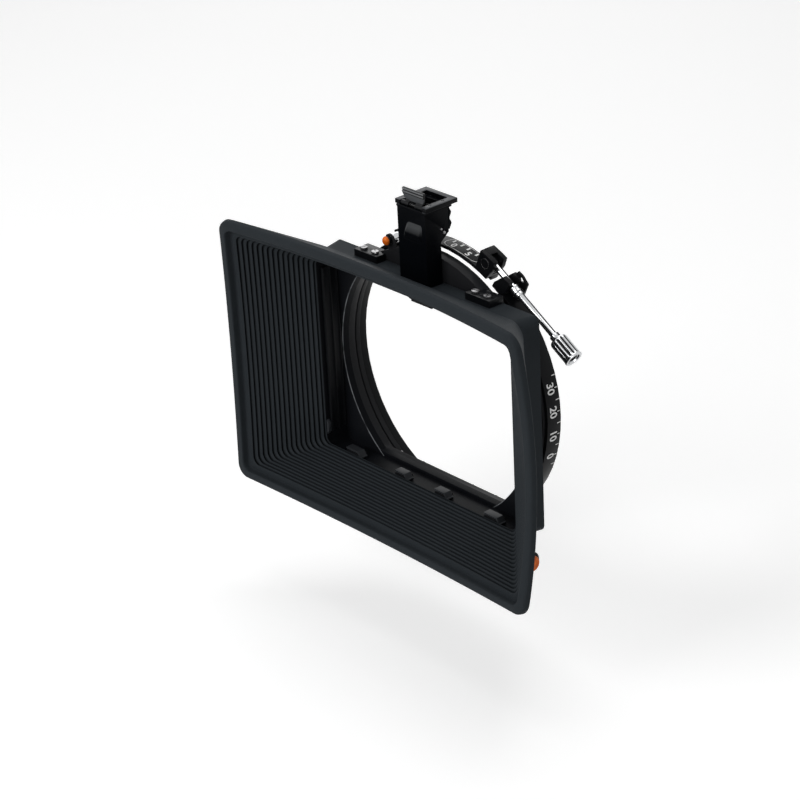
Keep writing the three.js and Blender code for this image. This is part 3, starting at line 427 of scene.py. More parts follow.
def moulding():
    """Black moulded plastic: an eroded grain, cloudy gloss and faint dust, painted shade that
    makes the rib grooves black and the inside of the filter stage darker, and a painted
    highlight round the light opening."""
    f = Finish("moulding", (0.0135, 0.0155, 0.0175), 0.56, Specular_IOR_Level=0.03)
    grain = f.noise(0.35, 3, 0.6)
    cloud = f.noise(24, 3)
    dust = f.ramp(f.noise(1.1, 2), 0.66, 0.82) * f.ramp(cloud, 0.45, 0.7)
    x, y, z = f.parts()
    deep = f.span(y, POCKET_FRONT, POCKET_FRONT + 0.6)
    inside = f.span(f.distance(x), 74.3, 74.1) * f.span(f.distance(z - MIDDLE * MM), 57.3, 57.1)
    stage = deep * inside
    grey = f.blend(dust * 0.5 + cloud * 0.25, (0.0225, 0.0268, 0.0305), (0.038, 0.043, 0.049))
    radius = (x * x + z * z) ** 0.5
    # Painted highlight: a pale band round the light opening at the stage wall's front, broken up
    # by noise.
    wear_and_highlight = f.span(radius, OPENING_R - 0.2, OPENING_R)
    wear_and_highlight = wear_and_highlight * f.span(radius, OPENING_R + 0.55, OPENING_R + 0.3)
    wear_and_highlight = wear_and_highlight * f.span(y, WALL_FRONT + 0.4, WALL_FRONT + 0.2)
    wear_and_highlight = wear_and_highlight * f.span(y, WALL_FRONT - 0.4, WALL_FRONT - 0.2)
    edge_highlight = wear_and_highlight * f.ramp(f.noise(9, 3), 0.30, 0.55)
    # Painted shade: the groove attribute turns the rib grooves near black.
    mark = f.node("ShaderNodeAttribute", {"attribute_name": "groove"})
    groove = Value(f, mark.outputs["Fac"])
    grey = f.blend(groove * 0.93, grey, (0.0008, 0.0010, 0.0012))
    # Painted shade: the moulding is darker inside the filter stage.
    dark = f.blend(stage, grey, (0.0052, 0.0058, 0.0072))
    f.set("Base Color", f.blend(edge_highlight, dark, (0.16, 0.17, 0.18)))
    f.set("Roughness", grain * 0.10 + cloud * 0.10 + 0.44 - stage * 0.12)
    f.bump(grain + f.noise(0.9, 2) * 0.6, 0.035, 0.55)
    return f.material


def anodised(name, colour, roughness, turned_lines=False, level=0.16, lit=None):
    """Black anodised metal: fine streaks of the cutter, cloudy gloss and small bright rubs.
    With lit, it gets a painted highlight, a paler shade between two heights, but not nearer
    to the middle than half and in front of the place reach, if these two are given."""
    f = Finish(name, colour, roughness, Specular_IOR_Level=level)
    cloud = f.noise(14, 3)
    fine = f.noise(0.25, 3)
    if turned_lines:
        x, _, z = f.parts()
        radius = (x * x + z * z) ** 0.5
        lines = f.math("SINE", radius * (2 * np.pi / (TURNED_STEP * MM))) * 0.5 + 0.5
        height = lines * 0.6 + fine * 0.4
    else:
        height = f.noise(0.5, 3, place=f.stretched((0.15, 1, 1))) * 0.6 + fine * 0.4
    wear_and_highlight = f.ramp(f.noise(2.2, 4, 0.7), 0.70, 0.80) * 0.3
    bright = tuple(c * 3.0 + 0.006 for c in colour)
    shade = f.blend(wear_and_highlight + cloud * 0.15, colour, bright)
    # Painted highlight: the tops turn to a paler shade between two heights.
    if lit:
        low, high, pale_shade, *front = lit
        x, y, z = f.parts()
        top_highlight = f.span(z, low, high)
        if front:
            half, reach = front
            middle = f.span(f.distance(x), half + 0.1, half - 0.1)
            top_highlight = top_highlight * (1 - middle * f.span(y, reach + 0.1, reach - 0.1))
        shade = f.blend(top_highlight, shade, pale_shade)
    f.set("Base Color", shade)
    f.set("Roughness", cloud * 0.10 + fine * 0.06 + (roughness - 0.08))
    f.bump(height, 0.006, 0.5)
    return f.material


def plastic(name, colour, roughness):
    """Plain moulded plastic with a fine grain and slightly uneven gloss."""
    f = Finish(name, colour, roughness, Specular_IOR_Level=0.08)
    grain, cloud = f.noise(0.4, 2), f.noise(7, 3)
    light = tuple(c * 1.5 + 0.003 for c in colour)
    f.set("Base Color", f.blend(cloud * 0.35 + grain * 0.15, colour, light))
    f.set("Roughness", cloud * 0.12 + grain * 0.08 + (roughness - 0.1))
    f.bump(grain, 0.015, 0.5)
    return f.material


def plated():
    """Bright plating with hair scratches and a few dull spots. Painted shade darkens the grooves
    of the screw's grip, and a painted dark reflection lies in two bands along its rod."""
    f = Finish("chrome", (0.50, 0.51, 0.52), 0.13, 1.0, Specular_IOR_Level=0.05)
    hair = f.ramp(f.noise(0.4, 3, 0.6, f.stretched((1, 0.06, 1))), 0.52, 0.75)
    dull = f.ramp(f.noise(1.6, 3), 0.58, 0.75)
    x, y, z = f.parts()
    along_x, along_z = x - PIVOT[0] * MM, z - PIVOT[2] * MM
    cosine, sine = float(np.cos(SCREW_DOWN)), float(np.sin(SCREW_DOWN))
    far = along_x * cosine - along_z * sine
    lift = along_x * sine + along_z * cosine
    angle = f.math("ARCTAN2", lift, y - PIVOT[1] * MM)
    # Painted shade in the grip's flutes, and a painted dark reflection in two bands along the rod;
    # both darken the base colour and the metal.
    groove = f.ramp(f.math("COSINE", angle * float(GRIP_FLUTES)), 0.35, -0.55)
    on_grip = f.span(far, 54.6, 55.6) * f.span(far, 66.6, 65.8)
    camera_side = float(np.radians(128))
    facing = f.math("COSINE", angle - camera_side)
    dark_reflection = f.ramp(facing, 0.86, 0.72) * f.ramp(facing, -0.40, -0.15)
    on_rod = f.span(far, 3, 3.5) * f.span(far, 54.5, 54.0)
    bright = f.blend(dull * 0.5, (0.56, 0.57, 0.58), (0.36, 0.37, 0.39))
    dark = f.math("MAXIMUM", groove * on_grip, dark_reflection * on_rod)
    f.set("Base Color", f.blend(dark, bright, (0.012, 0.012, 0.014)))
    f.set("Metallic", 1 - dark * 0.9)
    f.set("Roughness", hair * 0.06 + dull * 0.10 + 0.10)
    f.bump(hair, 0.002, 0.4)
    return f.material


def turned_steel():
    """Turned steel: fine lines, slightly stained."""
    f = Finish("steel", (0.30, 0.30, 0.31), 0.32, 1.0)
    fine, stain = f.noise(0.2, 3), f.noise(2.5, 3)
    f.set("Base Color", f.blend(stain * 0.7, (0.34, 0.34, 0.35), (0.18, 0.175, 0.17)))
    f.set("Roughness", fine * 0.12 + stain * 0.1 + 0.22)
    f.bump(fine, 0.003, 0.5)
    return f.material


def orange_plastic():
    """Orange moulded plastic with a fine skin and darker grime."""
    f = Finish("orange", (0.80, 0.16, 0.010), 0.36, Specular_IOR_Level=0.2)
    skin, cloud = f.noise(0.3, 2), f.noise(2.0, 3)
    grime = f.ramp(cloud, 0.35, 0.75)
    f.set("Base Color", f.blend(grime, (0.84, 0.175, 0.010), (0.50, 0.070, 0.005)))
    f.set("Roughness", skin * 0.10 + cloud * 0.08 + 0.26)
    f.bump(skin, 0.006, 0.4)
    return f.material


def print_white():
    """White print, slightly broken up."""
    f = Finish("print", (0.72, 0.72, 0.71), 0.5)
    spots = f.ramp(f.noise(0.25, 3), 0.60, 0.75)
    f.set("Base Color", f.blend(spots * 0.3, (0.86, 0.86, 0.85), (0.45, 0.45, 0.45)))
    f.bump(f.noise(0.15, 2), 0.004, 0.4)
    return f.material


# Painted highlights on the tops: two heights, their shade, and half width and reach of what stays
# dark
TOWER_LIT = (99.6, 99.7, (0.04, 0.042, 0.046), 8.6, 10)
FRAME_LIT = (102.3, 102.45, (0.062, 0.065, 0.071), 7.6, -24.9)
BULGE_LIT = (86.6, 90.2, (0.052, 0.055, 0.058))

LOOKS = {
    "moulding": moulding(),
    "stage_metal": anodised("stage_metal", (0.0140, 0.0144, 0.0158), 0.32, True, 0.06),
    "ring_metal": anodised("ring_metal", (0.0040, 0.0043, 0.0050), 0.32, True, 0.08),
    "block_metal": anodised("block_metal", (0.0036, 0.0040, 0.0050), 0.34),
    "tower_metal": anodised(
        "tower_metal", (0.0013, 0.0017, 0.0026), 0.32, level=0.04, lit=TOWER_LIT
    ),
    "rail_plastic": plastic("rail_plastic", (0.0022, 0.0026, 0.0034), 0.5),
    "catch_plastic": plastic("catch_plastic", (0.020, 0.022, 0.025), 0.38),
    "chrome": plated(),
    "steel": turned_steel(),
    "orange": orange_plastic(),
}
PRINT = print_white()
# Painted highlight: a paler copy of the anodised metal, for the latch plate and the frame pins.
FLAP_HIGHLIGHT = anodised("flap_highlight_metal", (0.050, 0.053, 0.057), 0.36)
# Painted highlight: a pale copy of the anodised metal for the two light ridges of the latch's lip.
LIP_HIGHLIGHT = anodised("lip_highlight_metal", (0.13, 0.135, 0.14), 0.36)
FRAME = anodised("frame_metal", (0.0016, 0.0019, 0.0028), 0.32, level=0.07, lit=FRAME_LIT)
# Painted highlight: the bulge turns paler towards its upper part.
BULGE = anodised("bulge_metal", (0.0020, 0.0024, 0.0034), 0.32, level=0.07, lit=BULGE_LIT)


def place(made, body, slot, *nodes, look=None):
    """Gives a piece its finish, its body and the solids that it stands for."""
    made.data.materials.clear()
    made.data.materials.append(look or LOOKS[slot])
    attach(made, body)
    if nodes:
        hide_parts(*nodes)
    return made


# Hood


def hood_loop(half, y, radius, bow):
    """One loop of the hood: a rounded rectangle whose sides go back and out by a share of
    1 - (place / half length) squared, both times bow, and whose middle rises to the axis."""
    w, h = half
    parts = []
    for n, (sx, sz) in enumerate([(1, -1), (1, 1), (-1, 1), (-1, -1)]):
        a = (n - 1) * np.pi / 2 + np.linspace(0, np.pi / 2, CORNER_STEPS + 1)
        round_x, round_z = radius * np.cos(a), radius * np.sin(a)
        arc = np.stack([sx * (w - radius) + round_x, sz * (h - radius) + round_z], -1)
        nx, nz = [(1, 1), (-1, 1), (-1, -1), (1, -1)][n]
        to = arr([nx * (w - radius) + round_x[-1], nz * (h - radius) + round_z[-1]])
        s = np.linspace(0, 1, (LONG_STEPS if n % 2 else SHORT_STEPS) + 1)[1:-1, None]
        parts += [arc, arc[-1] + (to - arc[-1]) * s]
    x, z = np.concatenate(parts).T
    top, side = 1 - (x / w) ** 2, 1 - (z / h) ** 2
    out_x = x * (1 + bow * BULGE_SIDE * side / w)
    back_y = y + bow * (BOW_TOP * top + BOW_SIDE * side) + 0 * x
    out_z = z * (1 + bow * BULGE_TOP * top / h) + (1 - bow) * MIDDLE
    return np.stack([out_x, back_y, out_z], -1)


def mixed(a, b, s):
    """The place at the share s of the way from a to b."""
    return arr(a) + (arr(b) - arr(a)) * s


def rib_profile():
    """Depth of the light trap over one rib from 0 to 1: a low crest, which falls by the
    distance from its middle to the power of 2.5, then a groove with round shoulders."""
    middle, fall = 0.23, 0.16
    places = (0.0, 0.05, 0.11, 0.18, 0.27, 0.35, 0.41, 0.46)
    crest = [(t, fall * (abs(t - middle) / middle) ** 2.5) for t in places]
    down, bottom = [(0.50, 0.40), (0.54, 0.95), (0.60, 1.5)], [(0.74, 1.7)]
    return crest + down + bottom + [(0.87, 1.5), (0.93, 0.95), (0.97, 0.40)]


def hood_body():
    """The moulding as one closed sleeve of loops: shell, flare, rim, inner lip, ledge, ribs,
    pocket. Corners between two stretches are rounded by a few extra loops. The attribute groove
    tells the finish how deep in a rib's groove a point lies, for the painted shade there."""
    loops, grooves = [], []

    def add(half, y, radius, bow=0.0, groove=0.0):
        loops.append(hood_loop(half, y, radius, bow))
        grooves.append(groove)

    def off(half, d):
        return (half[0] + d, half[1] + d)

    shell_front, foot = PLATE_FRONT - 0.3, FLARE_FOOT + 0.6
    add(off(SHELL, -0.3), PLATE_FRONT, INNER_RADIUS - 0.2)
    add(SHELL, shell_front, INNER_RADIUS)
    for s in np.linspace(0.1, 1, 8):
        radius = INNER_RADIUS + (FLARE_RADIUS - INNER_RADIUS) * s
        add(SHELL, shell_front + (foot - shell_front) * s, radius)
    flare_end = RIM + 3.0
    for s in (0.015, 0.03):
        y = FLARE_FOOT + (flare_end - FLARE_FOOT) * s
        add(mixed(SHELL, RIM_OUT, s * 0.7), y, FLARE_RADIUS, s)
    for s in np.linspace(0.08, 0.97, 14):
        y = FLARE_FOOT + (flare_end - FLARE_FOOT) * s
        add(mixed(SHELL, RIM_OUT, s), y, FLARE_RADIUS + (RIM_RADIUS - FLARE_RADIUS) * s, s)
    add(off(RIM_OUT, -0.25), RIM + 3.25, 7.4, 1)
    add(off(RIM_OUT, -0.03), RIM + 2.9, RIM_RADIUS, 1)
    add(off(RIM_OUT, -0.1), RIM + 2.4, 7.4, 1)
    for d, back in ((0.45, 1.2), (0.65, 0.7), (0.95, 0.32), (1.35, 0.1), (1.8, 0.0)):
        add(off(RIM_OUT, -d), RIM + back, RIM_RADIUS - d, 1)
    add(off(LIP, 0.9), RIM, 4.8, 1)
    for d, back in ((0.5, 0.05), (0.22, 0.2), (0.05, 0.5), (0, 1.0), (0, 2.4), (0, 3.6)):
        add(off(LIP, d), RIM + back, 4.2, 1)
    add(off(LIP, -0.15), RIM + 3.9, 4.1, 1)
    ribs_from, full_groove = RIM + 4.0, 1.4
    add(off(LIP, -0.6), ribs_from, INNER_RADIUS, 1)
    add(off(LEDGE, 0.8), ribs_from, INNER_RADIUS, 1)
    for n in range(RIBS):
        for t, depth in rib_profile():
            s = (n + t) / RIBS
            half = off(mixed(LEDGE, THROAT, s), depth)
            y = ribs_from + (POCKET_FRONT - ribs_from) * s
            add(half, y, INNER_RADIUS + depth / 2, 1 - s, min(depth / full_groove, 1.0))
    add(off(THROAT, 0.05), POCKET_FRONT - 0.1, INNER_RADIUS)
    add(mixed(THROAT, POCKET, 0.4), POCKET_FRONT + 0.1, INNER_RADIUS)
    for y in (POCKET_FRONT + 0.5, -27, -22, -18, STAGE_REAR):
        add(POCKET, y, INNER_RADIUS)
    made = grid("hood_moulding", np.stack(loops), angle=40)
    relief = [(0, 89.6), (5.05, 89.6), (5.05, 92.35), (6.1, 92.35), (6.1, 104), (0, 104)]
    button_tool = turned("tool", BUTTON_AT, ALONG_X, rounded(relief, 0.15), BUTTON_SIDES)
    inlay = box_tool((-10.6, -27.2, SHELL_TOP - 0.8), (10.6, -16.5, SHELL_TOP + 9))
    cut(made, [button_tool, inlay], angle=40)
    known = np.concatenate(loops) * MM
    values = np.repeat(grooves, len(loops[0]))
    nearest = KDTree(len(known))
    for n, point in enumerate(known):
        nearest.insert(point, n)
    nearest.balance()
    mark = made.data.attributes.new("groove", "FLOAT", "POINT")
    mark.data.foreach_set("value", [values[nearest.find(v.co)[1]] for v in made.data.vertices])
    return made


def opening_edge(theta, inset=0.0):
    """Radius of the light opening at an angle: the circle, or the straight cut if nearer."""
    flat = (OPENING_H + inset) / np.maximum(np.abs(np.sin(theta)), 1e-6)
    return np.minimum(OPENING_R + inset, flat)


def stage_wall():
    """The cross wall behind the pocket: a sleeve of loops in polar places, between the light
    opening and a rounded rectangle inside the shell's wall."""
    cut_at = np.arcsin(OPENING_H / OPENING_R)
    marks = [0, cut_at, np.pi - cut_at, np.pi + cut_at, 2 * np.pi - cut_at, 2 * np.pi]
    stretches = [np.linspace(a, b, 64, endpoint=False) for a, b in zip(marks, marks[1:])]
    theta = np.concatenate(stretches)
    c, s = np.cos(theta), np.sin(theta)
    w, h = STAGE_WALL
    to_side = w / np.maximum(np.abs(c), 1e-6)
    to_roof = (h + np.sign(s) * MIDDLE) / np.maximum(np.abs(s), 1e-6)
    corner = 93.0
    out = np.minimum(np.minimum(to_side, to_roof), corner)

    def ring(r, y):
        return np.stack([r * c, y + 0 * c, r * s], -1)

    loops = [ring(out, STAGE_REAR), ring(out, WALL_FRONT)]
    for d, y in ((0.5, 0.0), (0.25, 0.04), (0.08, 0.15), (0.0, 0.4)):
        loops.append(ring(opening_edge(theta, d), WALL_FRONT + y))
    loops.append(ring(opening_edge(theta), STAGE_REAR))
    return grid("hood_stage_wall", np.stack(loops), angle=30)


def button_boss():
    """The boss of the tray button, turned about the button's axis: the foot of its outside is
    at x = slant - y, to stay inside the hood's wall."""
    profile = rounded([(5.8, 84), (5.8, 92.4), (5.0, 92.4), (5.0, 89.6), (0, 89.6)], 0.2)
    r, t = arr(profile).T
    a = np.linspace(0, 2 * np.pi, BUTTON_SIDES, endpoint=False)
    y, z = BUTTON[0] + r[:, None] * np.cos(a), BUTTON[1] + r[:, None] * np.sin(a)
    x = t[:, None] + 0 * y
    slant = 44.6
    x[0] = np.clip(slant - y[0], 80, 91.5)
    close = np.tile((86.0, *BUTTON), (1, BUTTON_SIDES, 1))
    return grid("hood_button_boss", np.concatenate([np.stack([x, y, z], -1), close]), angle=35)


place(hood_body(), "stage", "moulding", "hood")
place(stage_wall(), "stage", "moulding", "hood")
place(button_boss(), "stage", "moulding", "hood")

# Stage plate, ring and stage fittings

place(softened("stage_plate", 0.2), "stage", "stage_metal", "stage_plate")


def lug_fill():
    """Closes the slot of the upper lug except where the screw and its tail swing."""
    block = [(26.0, 70.9), (27.0, 72.0), (31.16, 80.56), (34.2, 79.4)]
    block += [(40.6, 76.3), (38.76, 71.44), (34.8, 66.9), (33.4, 67.8)]
    made = prism("fill", block, -6.7, -2.3, 1)
    at = arr((PIVOT[0], PIVOT[2]))
    front, rear, rod, chamber_r, far = -7.5, -1.5, 2.1, 4.1, 12

    def way(degrees, reach):
        return at + reach * arr((np.cos(np.radians(degrees)), np.sin(np.radians(degrees))))

    below, above = way(-122.5, rod), way(132.5, rod)
    swing = [below, way(-32.5, far) + below - at]
    swing += [way(a, far) for a in (-20, 0, 20, 35)] + [way(42.5, far) + above - at, above]
    sweep = prism("tool", swing, front, rear, 1)
    space = rod_profile(chamber_r, front, rear)
    chamber = turned("tool", (PIVOT[0], 0, PIVOT[2]), ALONG_Y, space, 48)
    return cut(made, [sweep, chamber])


fin_hole = prism("tool", [(50.0, 68.3), (51.7, 69.0), (53.3, 66.9), (50.3, 66.5)], -2, 1, 1)
ring = softened("clamp_ring", 0.25, [fin_hole], [lug_fill()])
place(ring, "clamp_ring", "ring_metal", "clamp_ring")

for side in ("left", "right"):
    place(softened(f"tray_rail_{side}", 0.2), "stage", "rail_plastic", f"tray_rail_{side}")
    place(softened(f"bridge_block_{side}", 0.4), "stage", "block_metal", f"bridge_block_{side}")


def tray_catch(node):
    """A catch: a dark body below a lighter bent leaf, whose right end hooks down and out."""
    low, high = in_mm(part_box(node))
    above = box_tool((low[0] - 1, low[1] - 1, high[2] - 1.5), high + 1)
    place(softened(node, 0.35, [above]), "stage", "rail_plastic", node)
    x0, x1, top = low[0] + 0.1, high[0] - 0.6, high[2]
    leaf = [(x0, top), (x1, top), (x1 + 1.5, top - 2.6), (x1 + 2.3, top - 2.7)]
    leaf += [(x1 + 2.3, top - 3.3), (x1 + 1.2, top - 3.3), (x1 - 0.5, top - 0.9), (x0, top - 0.9)]
    bent = prism(f"{node}_leaf", leaf, low[1] + 0.3, high[1] - 1.4, 1, 0.2)
    place(bent, "stage", "catch_plastic", node)


for n in range(1, 5):
    tray_catch(f"tray_catch_{n}")
lower_edge = box_tool((-6.0, -24.35, 46.9), (9.4, -19.6, 48.6))
place(softened("top_catch", 0.3, joined=[lower_edge]), "stage", "rail_plastic", "top_catch")
place(softened("side_catch", 0.25), "stage", "catch_plastic", "side_catch")

# Print on the ring

PRINT_LIFT, PRINT_DEPTH = 0.05, 0.03


def on_ring(made, degrees, y):
    """Rolls a flat mesh in millimetres round the ring: x runs clockwise along the ring from the
    angle, y along the axis and z outwards."""
    verts = np.empty(len(made.data.vertices) * 3)
    made.data.vertices.foreach_get("co", verts)
    u, v, h = verts.reshape(-1, 3).T / MM
    a = np.radians(degrees) - u / RING_R
    r = RING_R + h + PRINT_LIFT
    points = np.stack([r * np.cos(a), y + v, r * np.sin(a)], -1) * MM
    made.data.vertices.foreach_set("co", points.ravel())
    made.data.update()
    return place(tidy(made), "clamp_ring", "ring_metal", look=PRINT)


def number(text, size, degrees, y):
    """A plain number as a thin solid on the ring."""
    curve = bpy.data.curves.new("number", "FONT")
    curve.body, curve.size = text, size * MM
    curve.extrude, curve.offset = PRINT_DEPTH / 2 * MM, 0.12 * MM
    curve.align_x, curve.align_y = "CENTER", "CENTER"
    source = bpy.data.objects.new("number_source", curve)
    bpy.context.scene.collection.objects.link(source)
    graph = bpy.context.evaluated_depsgraph_get()
    data = bpy.data.meshes.new_from_object(source.evaluated_get(graph))
    bpy.data.objects.remove(source)
    made = bpy.data.objects.new(f"ring_number_{text}", data)
    bpy.context.scene.collection.objects.link(made)
    return on_ring(made, degrees, y)


def tick(wide, long, degrees, y):
    """A flat mark, wide along the ring and long along the axis."""
    flat = box_tool((-wide / 2, -long / 2, 0), (wide / 2, long / 2, PRINT_DEPTH))
    return on_ring(flat, degrees, y)


def label_outline(half_long, half_wide, line, degrees, y):
    """A thin closed line round a stadium: two straight sides and two half circles."""
    a = np.linspace(-np.pi / 2, np.pi / 2, 17)
    straight = half_long - half_wide
    ends = [np.stack([straight + half_wide * np.cos(a), half_wide * np.sin(a)], -1)]
    ends.append(-ends[0])
    side = np.linspace(1, -1, 14)[1:-1, None]
    top = np.concatenate([side * straight, 0 * side + half_wide], 1)
    path = np.concatenate([ends[0], top, ends[1], -top])
    outward = path / np.linalg.norm(path, axis=1)[:, None]
    section = ((0, 0), (line, 0), (line, PRINT_DEPTH), (0, PRINT_DEPTH))
    loops = [np.column_stack([path + outward * d, np.full(len(path), h)]) for d, h in section]
    return on_ring(grid("ring_label_line", np.stack(loops)), degrees, y)


label_outline(12.2, 3.7, 0.34, 79.6, -4.7)
for degrees, text in ((84.2, "0"), (76.2, "5")):
    number(text, 5.2, degrees, -5.9)
for degrees in (86.4, 82.0, 78.6, 73.9):
    tick(1.1, 2.4, degrees, -2.6)
for degrees, text in ((12.5, "30"), (3.0, "20"), (-7.0, "10"), (-16.5, "0")):
    number(text, 6.4, degrees, -5.3)
for step in range(9):
    tick(0.45, 1.6 if step % 2 else 2.4, 17.25 - 4.82 * step, -1.6)

# Tower


def tower_bulge():
    """The swelling on the tower's front: its height is the rise at z times a * a * (3 - 2 a),
    where a, the share across, goes from 0 to 1 and back over x."""
    from_x, to_x, face, behind = -8.2, 9.9, -26.88, -26.2
    heights = (81.8, 83.5, 85.6, 86.8, 87.6, 91.8, 92.6)
    rises = (0, 0.25, 1.1, 1.45, 1.4, 0.08, 0)
    x = np.linspace(from_x, to_x, 42)
    loops = []
    for z in np.linspace(81.5, 93.0, 40):
        rise = np.interp(z, heights, rises)
        left = -6.6 + (z - 84) * 0.42
        across = np.clip((x - left) / 2.0, 0, 1) * np.clip((7.6 - x) / 0.9, 0, 1)
        y = face - rise * across**2 * (3 - 2 * across)
        front = np.stack([x, y, z + 0 * x], -1)
        loops.append(np.concatenate([front, [(to_x, behind, z), (from_x, behind, z)]]))
    return sleeve("tower_bulge", loops, 50)


# The body is cut back to a flat front below the frame, and at its rear to make room for the
# lever. A bar closes its top between the socket and the lever.
TOWER_HALF = 12
front_face = box_tool((-TOWER_HALF, -30, 60), (TOWER_HALF, -26.9, 99.4))
rear_space = box_tool((-TOWER_HALF, -11.2, 85.2), (TOWER_HALF, -7.0, 98.7))
bar = box_tool((-8.4, -11.35, 98.75), (8.4, -8.1, 100.1))
body = softened("tower_body", 0.25, [front_face, rear_space], [bar])
place(body, "stage", "tower_metal", "tower_body")
# The bulge carries a painted highlight on its upper part.
place(tower_bulge(), "stage", "tower_metal", "tower_body", look=BULGE)
place(softened("tower_frame", 0.25), "stage", "tower_metal", "tower_frame", look=FRAME)


def on_flap(made, look):
    """A piece of the latch flap."""
    return place(made, "latch_flap", "tower_metal", "latch_flap", look=look)


def flap():
    """The latch: knuckles on its pin, an upright plate with cut lower corners and a double lip."""
    dark = LOOKS["block_metal"]
    outline = [(-7.7, 105.6), (-6.9, 104.6), (-5.2, 103.3), (-3.8, 102.75), (6.2, 102.75)]
    outline += [(7.3, 103.6), (7.8, 104.8), (7.8, 106.2), (-7.7, 106.2)]
    # The latch plate carries a painted highlight.
    on_flap(prism("latch_plate", outline, -25.0, -23.9, 1, 0.2), FLAP_HIGHLIGHT)
    core = [(-25.1, 106.0), (-23.8, 106.0), (-23.8, 109.0), (-24.8, 109.0)]
    on_flap(prism("latch_core", core, -7.9, 7.9, 0, 0.1), dark)
    # The two lip bars carry a painted highlight.
    for y, z in ((-25.0, 106.9), (-24.85, 108.3)):
        lip = rounded(rod_profile(0.36, -8.1, 7.6), 0.15)
        on_flap(turned("latch_lip", (0, y, z), ALONG_X, lip, 24), LIP_HIGHLIGHT)
    for low, high in ((-7.9, -2.3), (2.3, 7.9)):
        wall = tube_profile(0.75, 1.2, low, high, 0.15)
        on_flap(turned("latch_knuckle", LATCH_PIN, ALONG_X, wall, 40), dark)
        arm = [(-25.9, 102.2), (-24.9, 103.4), (-24.0, 103.4), (-24.5, 101.5)]
        on_flap(prism("latch_arm", arm, max(low, -5.5), min(high, 7.0), 0, 0.15), dark)


flap()


def lever():
    """The thumb lever: its copy without teeth, and a pad over the tower's whole width, whose
    rear face dips by the square of the cosine of one turn over its height."""
    front, rear, dip = -10.9, -9.0, 1.15
    foot, tall, half = 86.75, 11.6, 10.25
    shares = np.linspace(0, 1, 49)
    wave = [(rear - dip * np.cos(2 * np.pi * s) ** 2, foot + tall * s) for s in shares]
    outline = [(front, foot), *wave, (front, foot + tall)]
    pad = prism("thumb_pad", outline, -half, half, 0, 0.18)
    place(pad, "thumb_lever", "tower_metal", "thumb_lever")
    trim = box_tool((-TOWER_HALF, -10.3, 86.9), (TOWER_HALF, -7, 99))
    place(softened("thumb_lever", 0.3, [trim]), "thumb_lever", "tower_metal", "thumb_lever")


lever()


def pin(name, at, frame_axes, r, start, end, edge=0.15):
    """A round pin with rounded ends."""
    return turned(name, at, frame_axes, rounded(rod_profile(r, start, end), edge), 40)


for node, at, r, half, edge in (
    ("latch_pin", LATCH_PIN, 0.45, 10.8, 0.15),
    ("lever_pin", (0, -14.1, 85.8), 0.9, 10.3, 0.25),
    ("spring_pin", (0, -15.9, 88.1), 0.6, 10.3, 0.2),
):
    made = pin(f"{node}_turned", at, ALONG_X, r, -half, half, edge)
    place(made, "stage", "steel", node)
# The frame pins get the painted highlight of the latch plate.
for n in range(1, 5):
    low, high = in_mm(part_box(f"frame_pin_{n}"))
    middle = (low + high) / 2
    made = pin(f"frame_pin_{n}_turned", (middle[0], middle[1], 0), ALONG_Z, 0.5, low[2], high[2])
    place(made, "stage", "steel", f"frame_pin_{n}", look=FLAP_HIGHLIGHT)

# Screws: height of a full head, the small ones' share of it, and the angles of the slots

HEAD, SMALL = 1.3, 0.7
SLOTS = [24, -38, 71, 8, -62, 40, 15, -20]


def slotted_screw(name, at, frame_axes, reach, share=1.0):
    """A screw whose head has rounded edges and a slot; t = 0 is the head's underside."""
    head, height, shank = 2.0 * share, HEAD * share, 1.0 * share
    outline = [(0, -reach), (shank, -reach), (shank, 0), (head, 0), (head, height), (0, height)]
    made = turned(name, at, frame_axes, rounded(outline, 0.28 * share), 48)
    along, side, third = frame_axes
    half_long, half_wide, deep = 3.0, 0.32 * share, 0.62 * share
    corners = [
        arr(at) + side * a + third * b + along * c
        for a in (-half_long, half_long)
        for b in (-half_wide, half_wide)
        for c in (height - deep, height + 1)
    ]
    return cut(made, [tidy(mesh_object("tool", corners, BOX_FACES))])


def turned_axes(along, degrees):
    """Axes about a direction, with the slot turned by some degrees."""
    along = arr(along)
    base = arr((1, 0, 0)) if abs(along[0]) < 0.9 else arr((0, 1, 0))
    other = np.cross(along, base)
    a = np.radians(degrees)
    return axes(along, base * np.cos(a) + other * np.sin(a))


for n in range(1, 5):
    low, high = in_mm(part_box(f"bridge_screw_{n}"))
    middle, way = (low + high) / 2, turned_axes((0, 0, 1), SLOTS[n])
    at = (middle[0], middle[1], high[2] - HEAD)
    made = slotted_screw(f"bridge_screw_{n}_turned", at, way, 6.4)
    place(made, "stage", "steel", f"bridge_screw_{n}")
for n in range(1, 9):
    low, high = in_mm(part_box(f"plate_screw_{n}"))
    middle, way = (low + high) / 2, turned_axes((0, 1, 0), SLOTS[n - 1])
    at = (middle[0], high[1] - HEAD * SMALL, middle[2])
    made = slotted_screw(f"plate_screw_{n}_turned", at, way, 5.6, SMALL)
    place(made, "stage", "steel", f"plate_screw_{n}")
for n in (1, 2):
    low, high = in_mm(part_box(f"tower_screw_{n}"))
    middle, way = (low + high) / 2, turned_axes((0, 0, -1), SLOTS[n])
    at = (middle[0], middle[1], low[2] + HEAD)
    made = slotted_screw(f"tower_screw_{n}_turned", at, way, high[2] - low[2] - HEAD)
    place(made, "stage", "steel", f"tower_screw_{n}")

# Stage lock

wall = [(1.0, -16.2), (2.15, -16.2), (2.15, -15.0), (2.7, -15.0)]
wall += [(2.7, -9.9), (1.75, -9.9), (1.75, -15.4), (1.0, -15.4)]
barrel = rounded(wall, 0.18, closed=True)


